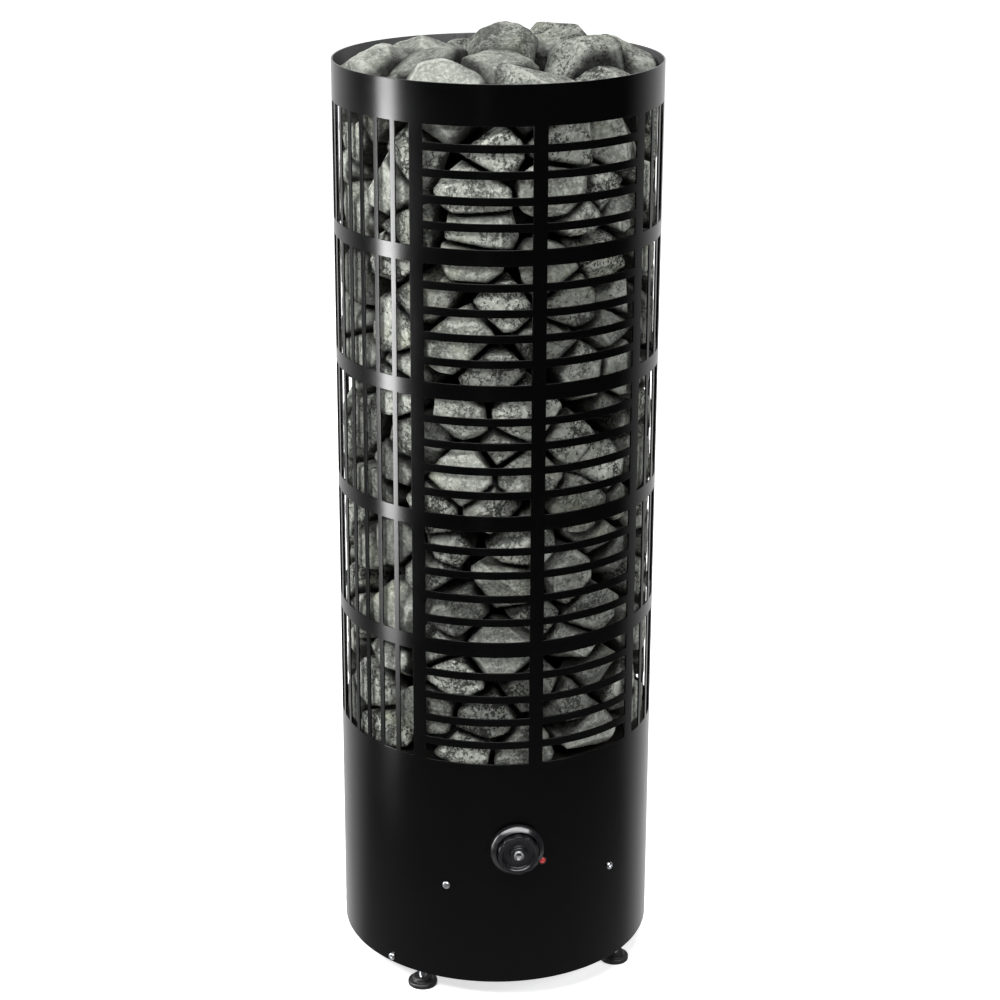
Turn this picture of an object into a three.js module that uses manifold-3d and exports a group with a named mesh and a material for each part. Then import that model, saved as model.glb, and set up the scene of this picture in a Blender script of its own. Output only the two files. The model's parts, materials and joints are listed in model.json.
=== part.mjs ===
// Pillar sauna heater: a slotted steel mantle on levelling feet, full of stones round tall heating elements.
// Millimetres, +Z up. The origin is on the heater's axis at floor level, and the front faces -Y.
// Angles are degrees round the axis from the front, positive towards +X.
import * as THREE from 'three';
import { ConvexGeometry } from 'three/addons/geometries/ConvexGeometry.js';
import { mergeVertices } from 'three/addons/utils/BufferGeometryUtils.js';
import Module from 'manifold-3d';

const wasm = await Module();
wasm.setup();

// Fits
const CLEARANCE = 0.3; // between pieces that meet
const HOLE_CLEARANCE = 0.35; // round a screw, stud or tube in its hole
const CUT_PAST = 1; // how far a cutter runs past the face that it cuts, and a join past its seam
const WALL_DRILL_REACH = 12; // of a drill to both sides of the mantle

// Mantle: one rolled sheet, plain below, slotted in rows above, with a plain band at the rim
const MANTLE_DIAMETER = 320;
const SHEET = 1.5;
const FLOOR_GAP = 22;
const CASING_HEIGHT = 242;
const ROWS = 5;
const SLOTS_PER_ROW = 5;
const SLOT_HEIGHT = 16.4;
const BAR_HEIGHT = 7.9;
const HOOP_HEIGHT = 15.7;
const BAND_HEIGHT = 38.3;
const SLOT_WIDTH = 104;
const POST_WIDTH = 14;
const UPRIGHT_SLOTS = 12;
const UPRIGHT_BAR_WIDTH = 5.9;
const CROSS_PANELS = 2; // of cross slots at the front, and as many at the back
const SLOT_FACETS = 3;

// Seam strip behind the back post, with its rivets
const SEAM_WIDTH = 10.5;
const SEAM_SHEET = 1.2;
const SEAM_END_GAP = 26;
const RIVETS = 5;
const RIVET_SHANK_RADIUS = 1.6;
const RIVET_HEAD_RADIUS = 3.2;
const RIVET_HEAD_HEIGHT = 1.1;
const RIVET_FLAT_RADIUS = 1.9;
const RIVET_SIDES = 6;

// Base plate: an inverted pan set into the casing
const PLATE_SHEET = 2;
const PLATE_RISE = 14; // mantle's lower edge to the plate's underside
const PLATE_SKIRT = 12;

// Stone deck, its posts and the heat shield below it
const DECK_DROP = 9; // deck's top below the casing's top edge
const DECK_SHEET = 3;
const DECK_VENTS = 6;
const DECK_VENT_RADIUS = 8;
const DECK_VENT_INSET = 78; // mantle's outside to the vent's middle
const POST_COUNT = 3;
const POST_ANGLE = 60;
const POST_RADIUS = 6;
const POST_INSET = 42; // mantle's outside to the post's middle
const POST_SPIGOT_RADIUS = 3;
const POST_SPIGOT_LENGTH = 6;
const POST_COLLAR_RADIUS = 9;
const POST_COLLAR_HEIGHT = 4;
const SHIELD_RISE = 10.8; // shield's underside above the control unit
const SHIELD_SHEET = 1.2;
const SHIELD_EDGE_GAP = 10;

// Heating elements: tall U tubes on a circle round the axis
const ELEMENTS = 3;
const ELEMENT_TUBE_RADIUS = 4;
const ELEMENT_CIRCLE = 40;
const ELEMENT_DROP = 103.1; // rim to the top of the bends
const ELEMENT_TAIL = 29.8; // below the shield's underside
const ELEMENT_BEND_STEPS = 6;
const FLANGE_LENGTH = 62;
const FLANGE_WIDTH = 22;
const FLANGE_SHEET = 3;
const STAR_LINK_WIDTH = 10;
const STAR_LINK_SHEET = 1.5;

// Stones: courses of an outer and an inner ring, and a heap above the rim
const COURSES = 11;
const OUTER_STONES = 11;
const INNER_STONES = 4;
const STONE_GAP = 3;
const STONE_WALL_GAP = 1.5;
const STONE_POINTS = 14;
const OUTER_RING_DEPTH = 58;
const STONE_LONG = [46, 64];
const STONE_MIDDLE = [38, 50];
const STONE_SHORT = [30, 39];
const STONE_TUMBLE = 0.5; // radians of lean either way
const STONE_SHIFT = 0.27; // share of the ring's spacing that a stone may stray
const HEAP_DEPTH = 50; // rim to the top of the courses
const HEAP_LOWER_STONES = 9;
const HEAP_UPPER_STONES = 5;
const HEAP_LOWER_INSET = 42; // mantle's outside to the stones' centres
const HEAP_UPPER_INSET = 82;
const HEAP_LOWER_RISE = -38; // stone centres against the rim
const HEAP_UPPER_RISE = -24;
const HEAP_TOP_OFFSET = 5; // top stone's centre from the axis
const HEAP_TOP_RISE = 1;
const HEAP_LOWER_TURN = 2.25; // shares of a ring's spacing
const HEAP_UPPER_TURN = 0.85;
const HEAP_TOP_TURN = 0.38;
const CONTACT_RADIUS = 5; // of the patch where two stones of a course touch

// Rotary control: bracket, unit with its bush, nut, bezel, spindle and knob
const CONTROL_ANGLE = -6.6;
const CONTROL_HEIGHT = 150; // above the mantle's lower edge
const BRACKET_SHEET = 1.5;
const BRACKET_EDGE = 9; // past its screws and below them
const BRACKET_TOP_MARGIN = 28; // above the control's axis
const BRACKET_FACETS = 8;
const UNIT_WIDTH = 36;
const UNIT_DEPTH = 36;
const UNIT_WALL_GAP = 6.5; // unit's front face behind the mantle's inside
const BUSH_RADIUS = 5;
const BUSH_NUT_ACROSS = 14;
const BUSH_NUT_HEIGHT = 3;
const BUSH_NUT_ROOM = 1; // round the nut inside the knob
const SPINDLE_RADIUS = 3;
const SPINDLE_ENTRY = 20; // length inside the unit
const BEZEL_RADIUS = 26.6;
const BEZEL_FACE_WIDTH = 4.7;
const BEZEL_HEIGHT = 9;
const BEZEL_CHAMFER = 4;
const BEZEL_WEB = 1.5;
const BEZEL_WEB_RISE = 1.8; // web's back above the mantle
const KNOB_GAP = 1.2; // round the knob inside the bezel
const KNOB_LIFT = 1.6; // knob's back above the bezel's web
const KNOB_HEIGHT = 10.5;
const KNOB_FLUTES = 10;
const KNOB_FLUTE_DEPTH = 1.3;
const KNOB_FLUTE_STEPS = 4;
const KNOB_RIM_WIDTH = 2.6;
const KNOB_DISH_DEPTH = 3.6;
const KNOB_HUB_RADIUS = 9;
const KNOB_HUB_TAPER = 1;
const KNOB_BORE_DEPTH = 7;
const CAP_RADIUS = 5;
const CAP_HEIGHT = 1.8;
const CAP_EDGE = 1.1;
const CAP_FLAT_RADIUS = 3.5;
const CAP_SEAT_DEPTH = 1.2;

// Pilot lamp beside the bezel
const LAMP_OFFSET = 25.6; // round the mantle to the right of the control's axis
const LAMP_DROP = 14.8; // below the control's axis
const LAMP_FLANGE_RADIUS = 4.4;
const LAMP_FLANGE_HEIGHT = 2.2;
const LAMP_BARREL_RADIUS = 3.2;
const LAMP_BARREL_LENGTH = 18;
const LENS_RADIUS = 3.2;
const LENS_SEAT_DEPTH = 1.5;
const LENS_DOME = 1.7;
const LENS_SHOULDER = 1.2;
const LENS_SHOULDER_RADIUS = 2.4;

// Screws
const SCREW_RADIUS = 2;
const SCREW_LENGTH = 11;
const SCREW_HEAD_RADIUS = 3.9;
const SCREW_HEAD_HEIGHT = 2.1;
const SCREW_SHOULDER_RADIUS = 3.7;
const SCREW_CROWN_RADIUS = 2.5;
const SCREW_SOCKET_RADIUS = 1.6;
const SCREW_SOCKET_DEPTH = 1.3;
const SIDE_SCREW_ANGLE = 32;
const SIDE_SCREW_HEIGHT = 106; // above the mantle's lower edge
const LOW_SCREWS = 2;
const LOW_SCREW_ANGLE = -55.5;
const LOW_SCREW_HEIGHT = 6;

// Levelling feet
const FEET = 4;
const FOOT_ANGLE = 45;
const FOOT_INSET = 15; // mantle's outside to the foot's axis
const FOOT_RADIUS = 15;
const FOOT_EDGE = 5;
const FOOT_LOWER_CHAMFER = 0.7;
const FOOT_UPPER_CHAMFER = 1;
const FOOT_COLLAR_RADIUS = 10;
const FOOT_COLLAR_HEIGHT = 4;
const FOOT_FLOOR = 3; // pad under the stem's end
const STEM_RADIUS = 4;
const STEM_LENGTH = 58;
const FOOT_NUT_ACROSS = 13;
const FOOT_NUT_HEIGHT = 6.5;

// Terminal block, cable gland, overheat limiter and wiring inside the casing
const BLOCK_ANGLE = 165;
const BLOCK_INSET = 68; // mantle's outside to the block's middle
const BLOCK_POLES = 5;
const BLOCK_POLE_WIDTH = 10;
const BLOCK_RIB = 2.5;
const BLOCK_DEPTH = 26;
const BLOCK_HEIGHT = 24;
const BLOCK_STEP = 7;
const GLAND_ANGLE = 157;
const GLAND_HEIGHT = 58; // above the mantle's lower edge
const GLAND_THREAD_RADIUS = 10;
const GLAND_ACROSS = 24;
const GLAND_HEX = 7;
const GLAND_DOME_RADIUS = 10.5;
const GLAND_DOME = 11;
const GLAND_DOME_EDGE = 6.6;
const GLAND_DOME_FLAT_RADIUS = 7.9;
const GLAND_NUT_ACROSS = 25;
const GLAND_NUT_HEIGHT = 5;
const GLAND_INNER_LENGTH = 14;
const LIMITER_ANGLE = -150;
const LIMITER_INSET = 74; // mantle's outside to the limiter's middle
const LIMITER_WIDTH = 30;
const LIMITER_DEPTH = 24;
const LIMITER_HEIGHT = 18;
const BUTTON_RADIUS = 3.5;
const BUTTON_CAP_RADIUS = 5.5;
const BUTTON_CAP_HEIGHT = 3;
const BUTTON_CAP_CHAMFER = 0.6;
const BUTTON_TRAVEL = 2.5;
const BUTTON_STEM = 6; // inside the limiter at rest
const HARNESS_RADIUS = 4;
const HARNESS_SIDES = 6;
const HARNESS_STEPS = 14;

// Sides of round pieces
const SHEET_SIDES = 36;
const ROUND_SIDES = 12;
const SMALL_SIDES = 8;

// Levels and radii that follow from the sizes above
const mantleRadius = MANTLE_DIAMETER / 2;
const ventCircle = mantleRadius - DECK_VENT_INSET;
const postCircle = mantleRadius - POST_INSET;
const footCircle = mantleRadius - FOOT_INSET;
const blockCircle = mantleRadius - BLOCK_INSET;
const limiterCircle = mantleRadius - LIMITER_INSET;
const casingTop = FLOOR_GAP + CASING_HEIGHT;
const rowHeight = SLOTS_PER_ROW * SLOT_HEIGHT + (SLOTS_PER_ROW - 1) * BAR_HEIGHT;
const rowPitch = rowHeight + HOOP_HEIGHT;
const rimLevel = casingTop + ROWS * rowPitch - HOOP_HEIGHT + BAND_HEIGHT;
const arcDegrees = (width) => THREE.MathUtils.radToDeg(width / mantleRadius);
const facetDegrees = arcDegrees(SLOT_WIDTH) / SLOT_FACETS;
const flatOf = (radius, degrees) => radius * Math.cos(THREE.MathUtils.degToRad(degrees / 2));
const innerRadius = flatOf(mantleRadius - SHEET, facetDegrees) - CLEARANCE; // clear of the mantle's flats
const deckRadius = innerRadius - SEAM_SHEET - CLEARANCE; // clear of the seam strip
const plateBottom = FLOOR_GAP + PLATE_RISE;
const plateTop = plateBottom + PLATE_SHEET;
const deckTop = casingTop - DECK_DROP;
const deckBottom = deckTop - DECK_SHEET;
const stoneFloor = deckTop + CLEARANCE + FLANGE_SHEET + CLEARANCE;
const controlLevel = FLOOR_GAP + CONTROL_HEIGHT;
const shieldBottom = controlLevel + UNIT_WIDTH / 2 + SHIELD_RISE;
const shieldTop = shieldBottom + SHIELD_SHEET;
const sideScrewLevel = FLOOR_GAP + SIDE_SCREW_HEIGHT;
const lampLevel = controlLevel - LAMP_DROP;
const lampAngle = CONTROL_ANGLE + arcDegrees(LAMP_OFFSET);
const glandLevel = FLOOR_GAP + GLAND_HEIGHT;
const elementTail = shieldBottom - ELEMENT_TAIL;
const elementTop = rimLevel - ELEMENT_DROP;

const heater = new THREE.Group();

// A point given by its angle, its distance from the axis and its level
function polar(angle, radius, level = 0) {
  const turn = THREE.MathUtils.degToRad(angle);
  return new THREE.Vector3(radius * Math.sin(turn), -radius * Math.cos(turn), level);
}

// A frame on the mantle: local +Z points outwards from the heater's axis and local +Y points up
function wallFrame(angle, level) {
  const frame = new THREE.Group();
  frame.position.z = level;
  frame.rotation.set(Math.PI / 2, 0, THREE.MathUtils.degToRad(angle), 'ZYX');
  frame.updateMatrix();
  heater.add(frame);
  return frame;
}

// An upright frame on the base plate or the deck: local +Y points away from the heater's axis
function floorFrame(angle, radius, level) {
  const frame = new THREE.Group();
  frame.position.copy(polar(angle, radius, level));
  frame.rotation.z = THREE.MathUtils.degToRad(angle + 180);
  frame.updateMatrix();
  heater.add(frame);
  return frame;
}

function finish(color, roughness, metalness) {
  return new THREE.MeshStandardMaterial({ color, roughness, metalness });
}
const blackPaint = () => finish(0x0b0b0c, 0.3, 0.2);
const bareSteel = () => finish(0x9a9da0, 0.38, 0.95);
const zinc = () => finish(0xb9bcc0, 0.3, 0.95);
const blackPlastic = () => finish(0x101012, 0.35, 0);
const stoneGrey = () => finish(0x8d928b, 0.9, 0);

// Only positions, with shared corners merged and collapsed triangles dropped
function weld(geometry) {
  const bare = new THREE.BufferGeometry();
  bare.setAttribute('position', geometry.getAttribute('position'));
  bare.setIndex(geometry.index);
  const merged = mergeVertices(bare, 1e-4);
  const corners = merged.index.array;
  const kept = [];
  for (let i = 0; i < corners.length; i += 3) {
    const [a, b, c] = [corners[i], corners[i + 1], corners[i + 2]];
    if (a !== b && b !== c && c !== a) kept.push(a, b, c);
  }
  merged.setIndex(kept);
  return merged;
}

function toSolid(geometry) {
  const welded = weld(geometry);
  const vertProperties = new Float32Array(welded.getAttribute('position').array);
  const triVerts = new Uint32Array(welded.index.array);
  return new wasm.Manifold(new wasm.Mesh({ numProp: 3, vertProperties, triVerts }));
}

function fromSolid(solid) {
  const { vertProperties, triVerts } = solid.getMesh();
  const geometry = new THREE.BufferGeometry();
  geometry.setAttribute('position', new THREE.BufferAttribute(vertProperties, 3));
  geometry.setIndex(new THREE.BufferAttribute(triVerts, 1));
  return geometry;
}

function cut(geometry, cutters) {
  const start = toSolid(geometry);
  return fromSolid(cutters.reduce((solid, cutter) => solid.subtract(toSolid(cutter)), start));
}

function join(geometries) {
  const [first, ...others] = geometries.map(toSolid);
  return fromSolid(others.reduce((solid, other) => solid.add(other), first));
}

function place(name, geometry, material, parent = heater) {
  const mesh = new THREE.Mesh(weld(geometry), material);
  mesh.geometry.computeVertexNormals();
  mesh.name = name;
  parent.add(mesh);
  return mesh;
}

// A turned piece about local Z from radius and height pairs, listed anticlockwise
function turned(profile, sides = ROUND_SIDES) {
  const points = profile.map(([radius, height]) => new THREE.Vector2(radius, height));
  return new THREE.LatheGeometry(points, sides).rotateX(Math.PI / 2);
}

function rod(radius, low, high, sides = SMALL_SIDES) {
  return turned([[0, low], [radius, low], [radius, high], [0, high]], sides);
}

// A round cutter whose flats keep the radius
const aroundRadius = (radius, sides) => radius / Math.cos(Math.PI / sides);
function drill(radius, low, high, sides = SMALL_SIDES) {
  return rod(aroundRadius(radius, sides), low, high, sides);
}

function tube(inner, outer, low, high, sides = ROUND_SIDES) {
  return turned([[inner, low], [outer, low], [outer, high], [inner, high], [inner, low]], sides);
}

// A flat outline raised from a low to a high level, with round holes given as x, y and radius
function raised(shape, low, high, holes = [], sides = SMALL_SIDES) {
  for (const [x, y, radius] of holes) {
    const centre = new THREE.Vector2(x, y);
    const edge = polygon(aroundRadius(radius, sides), sides).getPoints();
    shape.holes.push(new THREE.Path(edge.map((point) => point.add(centre))));
  }
  const options = { depth: high - low, bevelEnabled: false };
  return new THREE.ExtrudeGeometry(shape, options).translate(0, 0, low);
}

function polygon(radius, sides, turn = 0) {
  const points = [];
  for (let i = 0; i < sides; i += 1) {
    const angle = turn + (i * Math.PI * 2) / sides;
    points.push(new THREE.Vector2(radius * Math.cos(angle), radius * Math.sin(angle)));
  }
  return new THREE.Shape(points);
}

function rectangle(width, depth) {
  const [x, y] = [width / 2, depth / 2];
  const corners = [[-x, -y], [x, -y], [x, y], [-x, y]];
  return new THREE.Shape(corners.map(([a, b]) => new THREE.Vector2(a, b)));
}

function hexagon(across) {
  return polygon(across / Math.sqrt(3), 6);
}

function box(width, depth, low, high) {
  return new THREE.BoxGeometry(width, depth, high - low).translate(0, 0, (low + high) / 2);
}

// A radial drill through the mantle, in the heater's frame
function wallDrill(angle, level, radius, sides = SMALL_SIDES, reach = WALL_DRILL_REACH) {
  const bit = drill(radius, mantleRadius - reach, mantleRadius + reach, sides);
  const frame = wallFrame(angle, level);
  frame.removeFromParent();
  return bit.applyMatrix4(frame.matrix);
}

// Rolled sheet from columns that start at an angle and are filled between levels, open elsewhere
function rolledSheet(columns, outer, inner) {
  const count = columns.length;
  const ends = columns.map(({ fills }) => fills.flat());
  const before = (i) => (i + count - 1) % count;
  const byValue = (a, b) => a - b;
  const levels = ends.map((list, i) => [...new Set([...list, ...ends[before(i)]])].sort(byValue));
  const positions = [];
  const indices = [];
  const numbers = new Map();
  const corner = (line, level, radius) => {
    const key = `${line % count} ${level} ${radius}`;
    if (!numbers.has(key)) {
      numbers.set(key, numbers.size);
      positions.push(...polar(columns[line % count].from, radius, level).toArray());
    }
    return numbers.get(key);
  };
  const quad = (a, b, c, d) => indices.push(a, b, c, a, c, d);
  const skin = (i, low, high, radius, outwards) => {
    const chain = (line) => levels[line % count].filter((level) => level >= low && level <= high);
    const [left, right] = [chain(i), chain(i + 1)];
    let [l, r] = [0, 0];
    while (l + 1 < left.length || r + 1 < right.length) {
      const onLeft = r + 1 >= right.length || (l + 1 < left.length && left[l + 1] <= right[r + 1]);
      const next = onLeft ? corner(i, left[l + 1], radius) : corner(i + 1, right[r + 1], radius);
      const a = corner(i, left[l], radius);
      const b = corner(i + 1, right[r], radius);
      indices.push(...(outwards ? [a, b, next] : [b, a, next]));
      if (onLeft) l += 1;
      else r += 1;
    }
  };
  const filled = (i, middle) => columns[i].fills.some(([low, high]) => low < middle && middle < high);
  columns.forEach(({ fills }, i) => {
    for (const [low, high] of fills) {
      skin(i, low, high, outer, true);
      skin(i, low, high, inner, false);
      const ledge = (z) => [[i, outer], [i + 1, outer], [i + 1, inner], [i, inner]].map(
        ([line, radius]) => corner(line, z, radius),
      );
      quad(...ledge(high));
      quad(...ledge(low).reverse());
    }
    levels[i].slice(1).forEach((high, k) => {
      const low = levels[i][k];
      const [here, there] = [i, before(i)].map((column) => filled(column, (low + high) / 2));
      if (here === there) return;
      const wall = [[low, inner], [low, outer], [high, outer], [high, inner]].map(
        ([level, radius]) => corner(i, level, radius),
      );
      quad(...(here ? wall : wall.reverse()));
    });
  });
  const geometry = new THREE.BufferGeometry();
  geometry.setAttribute('position', new THREE.Float32BufferAttribute(positions, 3));
  geometry.setIndex(indices);
  return geometry;
}

// What is left of the mantle's height between gaps listed upwards
function fillsBetween(gaps) {
  const edges = [FLOOR_GAP, ...gaps.flat(), rimLevel];
  return edges.flatMap((level, i) => (i % 2 === 0 ? [[level, edges[i + 1]]] : []));
}

function mantleColumns() {
  const rows = Array.from({ length: ROWS }, (_, row) => casingTop + row * rowPitch);
  const crossGaps = rows.flatMap((base) => Array.from({ length: SLOTS_PER_ROW }, (_, slot) => {
    const low = base + slot * (SLOT_HEIGHT + BAR_HEIGHT);
    return [low, low + SLOT_HEIGHT];
  }));
  const plain = fillsBetween([]);
  const crossed = fillsBetween(crossGaps);
  const upright = fillsBetween(rows.map((base) => [base, base + rowHeight]));
  const posts = CROSS_PANELS + 1;
  const crossSection = CROSS_PANELS * arcDegrees(SLOT_WIDTH) + posts * arcDegrees(POST_WIDTH);
  const uprightSection = 180 - crossSection;
  const barDegrees = arcDegrees(UPRIGHT_BAR_WIDTH);
  const gapDegrees = (uprightSection - (UPRIGHT_SLOTS - 1) * barDegrees) / UPRIGHT_SLOTS;
  const columns = [];
  let angle = -crossSection / 2;
  const add = (degrees, fills) => {
    columns.push({ from: angle, fills });
    angle += degrees;
  };
  while (angle < 360 - crossSection / 2 - barDegrees) {
    for (let post = 0; post < posts; post += 1) {
      add(arcDegrees(POST_WIDTH), plain);
      for (let facet = 0; facet < SLOT_FACETS && post < CROSS_PANELS; facet += 1) add(facetDegrees, crossed);
    }
    for (let slot = 0; slot < UPRIGHT_SLOTS; slot += 1) {
      add(gapDegrees, upright);
      if (slot < UPRIGHT_SLOTS - 1) add(barDegrees, plain);
    }
  }
  return columns;
}

const rivetLevels = Array.from({ length: RIVETS }, (_, i) => {
  const low = plateTop + SEAM_END_GAP;
  const high = rimLevel - BAND_HEIGHT / 2;
  return low + ((high - low) * i) / (RIVETS - 1);
});
const lowScrewAngles = Array.from({ length: LOW_SCREWS }, (_, i) => LOW_SCREW_ANGLE + (i * 360) / LOW_SCREWS);
const lowScrewLevel = FLOOR_GAP + LOW_SCREW_HEIGHT;
const screwHole = SCREW_RADIUS + HOLE_CLEARANCE;
const rivetHole = RIVET_SHANK_RADIUS + HOLE_CLEARANCE;
const lampHole = LAMP_BARREL_RADIUS + HOLE_CLEARANCE;
const bushHole = BUSH_RADIUS + HOLE_CLEARANCE;
const controlDrills = () => [
  wallDrill(CONTROL_ANGLE, controlLevel, bushHole, ROUND_SIDES),
  wallDrill(lampAngle, lampLevel, lampHole),
  wallDrill(-SIDE_SCREW_ANGLE, sideScrewLevel, screwHole),
  wallDrill(SIDE_SCREW_ANGLE, sideScrewLevel, screwHole),
];
const lowScrewDrills = () => lowScrewAngles.map((angle) => wallDrill(angle, lowScrewLevel, screwHole));

function makeMantle() {
  const sheet = rolledSheet(mantleColumns(), mantleRadius, mantleRadius - SHEET);
  const drills = [
    ...controlDrills(),
    ...lowScrewDrills(),
    ...rivetLevels.map((level) => wallDrill(180, level, rivetHole, RIVET_SIDES)),
    wallDrill(GLAND_ANGLE, glandLevel, GLAND_THREAD_RADIUS + HOLE_CLEARANCE, ROUND_SIDES),
  ];
  place('mantle', cut(sheet, drills), blackPaint());
}

// The strip's rivets go out through the mantle's back post
function makeSeamStrip() {
  const low = plateTop + SEAM_END_GAP / 2;
  const high = rimLevel - CLEARANCE;
  const face = flatOf(mantleRadius - SHEET, arcDegrees(POST_WIDTH)) - CLEARANCE;
  const strip = new THREE.BoxGeometry(SEAM_WIDTH, high - low, SEAM_SHEET);
  strip.translate(0, (low + high) / 2, face - SEAM_SHEET / 2);
  const headFace = mantleRadius + CLEARANCE;
  const rivet = (level) => turned([
    [0, face - SEAM_SHEET / 2],
    [RIVET_SHANK_RADIUS, face - SEAM_SHEET / 2],
    [RIVET_SHANK_RADIUS, headFace],
    [RIVET_HEAD_RADIUS, headFace],
    [RIVET_FLAT_RADIUS, headFace + RIVET_HEAD_HEIGHT],
    [0, headFace + RIVET_HEAD_HEIGHT],
  ], RIVET_SIDES).translate(0, level, 0);
  place('seam_strip', join([strip, ...rivetLevels.map(rivet)]), blackPaint(), wallFrame(180, 0));
}

const postAngles = Array.from({ length: POST_COUNT }, (_, i) => POST_ANGLE + (i * 360) / POST_COUNT);
const footAngles = Array.from({ length: FEET }, (_, i) => FOOT_ANGLE + (i * 360) / FEET);
const legAngles = Array.from({ length: ELEMENTS * 2 }, (_, i) => ((i + 0.5) * 180) / ELEMENTS);
const holeAt = (angle, circle, radius) => {
  const point = polar(angle, circle);
  return [point.x, point.y, radius + HOLE_CLEARANCE];
};
const legHoles = () => legAngles.map((angle) => holeAt(angle, ELEMENT_CIRCLE, ELEMENT_TUBE_RADIUS));

function makeBasePlate() {
  const skirtInner = innerRadius - PLATE_SHEET;
  const low = plateBottom - PLATE_SKIRT;
  const pan = turned([
    [0, plateBottom],
    [skirtInner, plateBottom],
    [skirtInner, low],
    [innerRadius, low],
    [innerRadius, plateTop],
    [0, plateTop],
  ], SHEET_SIDES);
  const through = (angle, circle, radius) => {
    const [x, y, hole] = holeAt(angle, circle, radius);
    return drill(hole, plateBottom - PLATE_SHEET, plateTop + PLATE_SHEET).translate(x, y, 0);
  };
  const drills = [
    ...footAngles.map((angle) => through(angle, footCircle, STEM_RADIUS)),
    ...postAngles.map((angle) => through(angle, postCircle, POST_SPIGOT_RADIUS)),
    through(LIMITER_ANGLE, limiterCircle, BUTTON_RADIUS),
    ...lowScrewDrills(),
  ];
  place('base_plate', cut(pan, drills), bareSteel());
}

function makeDeck() {
  const vents = Array.from({ length: DECK_VENTS }, (_, i) => {
    const point = polar(((i + 0.5) * 360) / DECK_VENTS, ventCircle);
    return [point.x, point.y, DECK_VENT_RADIUS];
  });
  const spigots = postAngles.map((angle) => holeAt(angle, postCircle, POST_SPIGOT_RADIUS));
  const holes = [...legHoles(), ...spigots, ...vents];
  const disc = polygon(deckRadius, SHEET_SIDES);
  place('deck_plate', raised(disc, deckBottom, deckTop, holes), bareSteel());
}

function makeHeatShield() {
  const disc = polygon(deckRadius - SHIELD_EDGE_GAP, SHEET_SIDES);
  const holes = [...legHoles(), ...postAngles.map((angle) => holeAt(angle, postCircle, POST_RADIUS))];
  place('heat_shield', raised(disc, shieldBottom, shieldTop, holes), zinc());
}

// Each post stands on the plate, carries the deck on its shoulder and the shield on its collar
function makePosts() {
  const low = plateTop + CLEARANCE;
  const high = deckBottom - CLEARANCE;
  const collarTop = shieldBottom - CLEARANCE;
  const profile = [
    [0, low - POST_SPIGOT_LENGTH],
    [POST_SPIGOT_RADIUS, low - POST_SPIGOT_LENGTH],
    [POST_SPIGOT_RADIUS, low],
    [POST_RADIUS, low],
    [POST_RADIUS, collarTop - POST_COLLAR_HEIGHT],
    [POST_COLLAR_RADIUS, collarTop - POST_COLLAR_HEIGHT],
    [POST_COLLAR_RADIUS, collarTop],
    [POST_RADIUS, collarTop],
    [POST_RADIUS, high],
    [POST_SPIGOT_RADIUS, high],
    [POST_SPIGOT_RADIUS, deckTop],
    [0, deckTop],
  ];
  postAngles.forEach((angle, i) => {
    place(`support_post_${i + 1}`, turned(profile, SMALL_SIDES), zinc(), floorFrame(angle, postCircle, 0));
  });
}

// A hairpin in the local XZ plane: one step along each leg and the rest round the bend
class Hairpin extends THREE.Curve {
  constructor(halfWidth, low, high, bendSteps) {
    super();
    Object.assign(this, { halfWidth, low, high });
    this.leg = 1 / (bendSteps + 2);
  }

  getUtoTmapping(u) {
    return u;
  }

  getPoint(t) {
    const bendLevel = this.high - this.halfWidth;
    const legLevel = (share) => THREE.MathUtils.lerp(this.low, bendLevel, share / this.leg);
    if (t <= this.leg) return new THREE.Vector3(-this.halfWidth, 0, legLevel(t));
    if (t >= 1 - this.leg) return new THREE.Vector3(this.halfWidth, 0, legLevel(1 - t));
    const turn = (Math.PI * (t - this.leg)) / (1 - 2 * this.leg);
    const [x, rise] = [-this.halfWidth * Math.cos(turn), this.halfWidth * Math.sin(turn)];
    return new THREE.Vector3(x, 0, bendLevel + rise);
  }
}

function makeElements() {
  const halfWidth = ELEMENT_CIRCLE * Math.sin(Math.PI / (2 * ELEMENTS));
  const chord = ELEMENT_CIRCLE * Math.cos(Math.PI / (2 * ELEMENTS));
  const section = polygon(ELEMENT_TUBE_RADIUS, SMALL_SIDES, Math.PI / SMALL_SIDES);
  for (let i = 0; i < ELEMENTS; i += 1) {
    const frame = floorFrame((i * 360) / ELEMENTS + 180 / ELEMENTS, chord, 0);
    const extrudePath = new Hairpin(halfWidth, elementTail, elementTop, ELEMENT_BEND_STEPS);
    const hairpin = new THREE.ExtrudeGeometry(section, { steps: ELEMENT_BEND_STEPS + 2, extrudePath });
    place(`heating_element_${i + 1}`, hairpin, bareSteel(), frame);
    const hole = ELEMENT_TUBE_RADIUS + HOLE_CLEARANCE;
    const holes = [[-halfWidth, 0, hole], [halfWidth, 0, hole]];
    const low = deckTop + CLEARANCE;
    const flange = raised(rectangle(FLANGE_LENGTH, FLANGE_WIDTH), low, low + FLANGE_SHEET, holes);
    place(`element_flange_${i + 1}`, flange, zinc(), frame);
  }
}

// Flat ring under the elements' tails
function makeStarLink() {
  const high = elementTail - CLEARANCE;
  const [inner, outer] = [-1, 1].map((side) => ELEMENT_CIRCLE + (side * STAR_LINK_WIDTH) / 2);
  place('star_link', tube(inner, outer, high - STAR_LINK_SHEET, high, ROUND_SIDES), zinc());
}

// A repeatable number from 0 to 1 for each stone and purpose
function chance(stone, purpose) {
  const value = Math.sin(stone * 12.9898 + purpose * 78.233) * 43758.5453;
  return value - Math.floor(value);
}
const between = ([low, high], share) => low + (high - low) * share;
const stray = (stone, purpose) => 2 * chance(stone, purpose) - 1;

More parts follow.
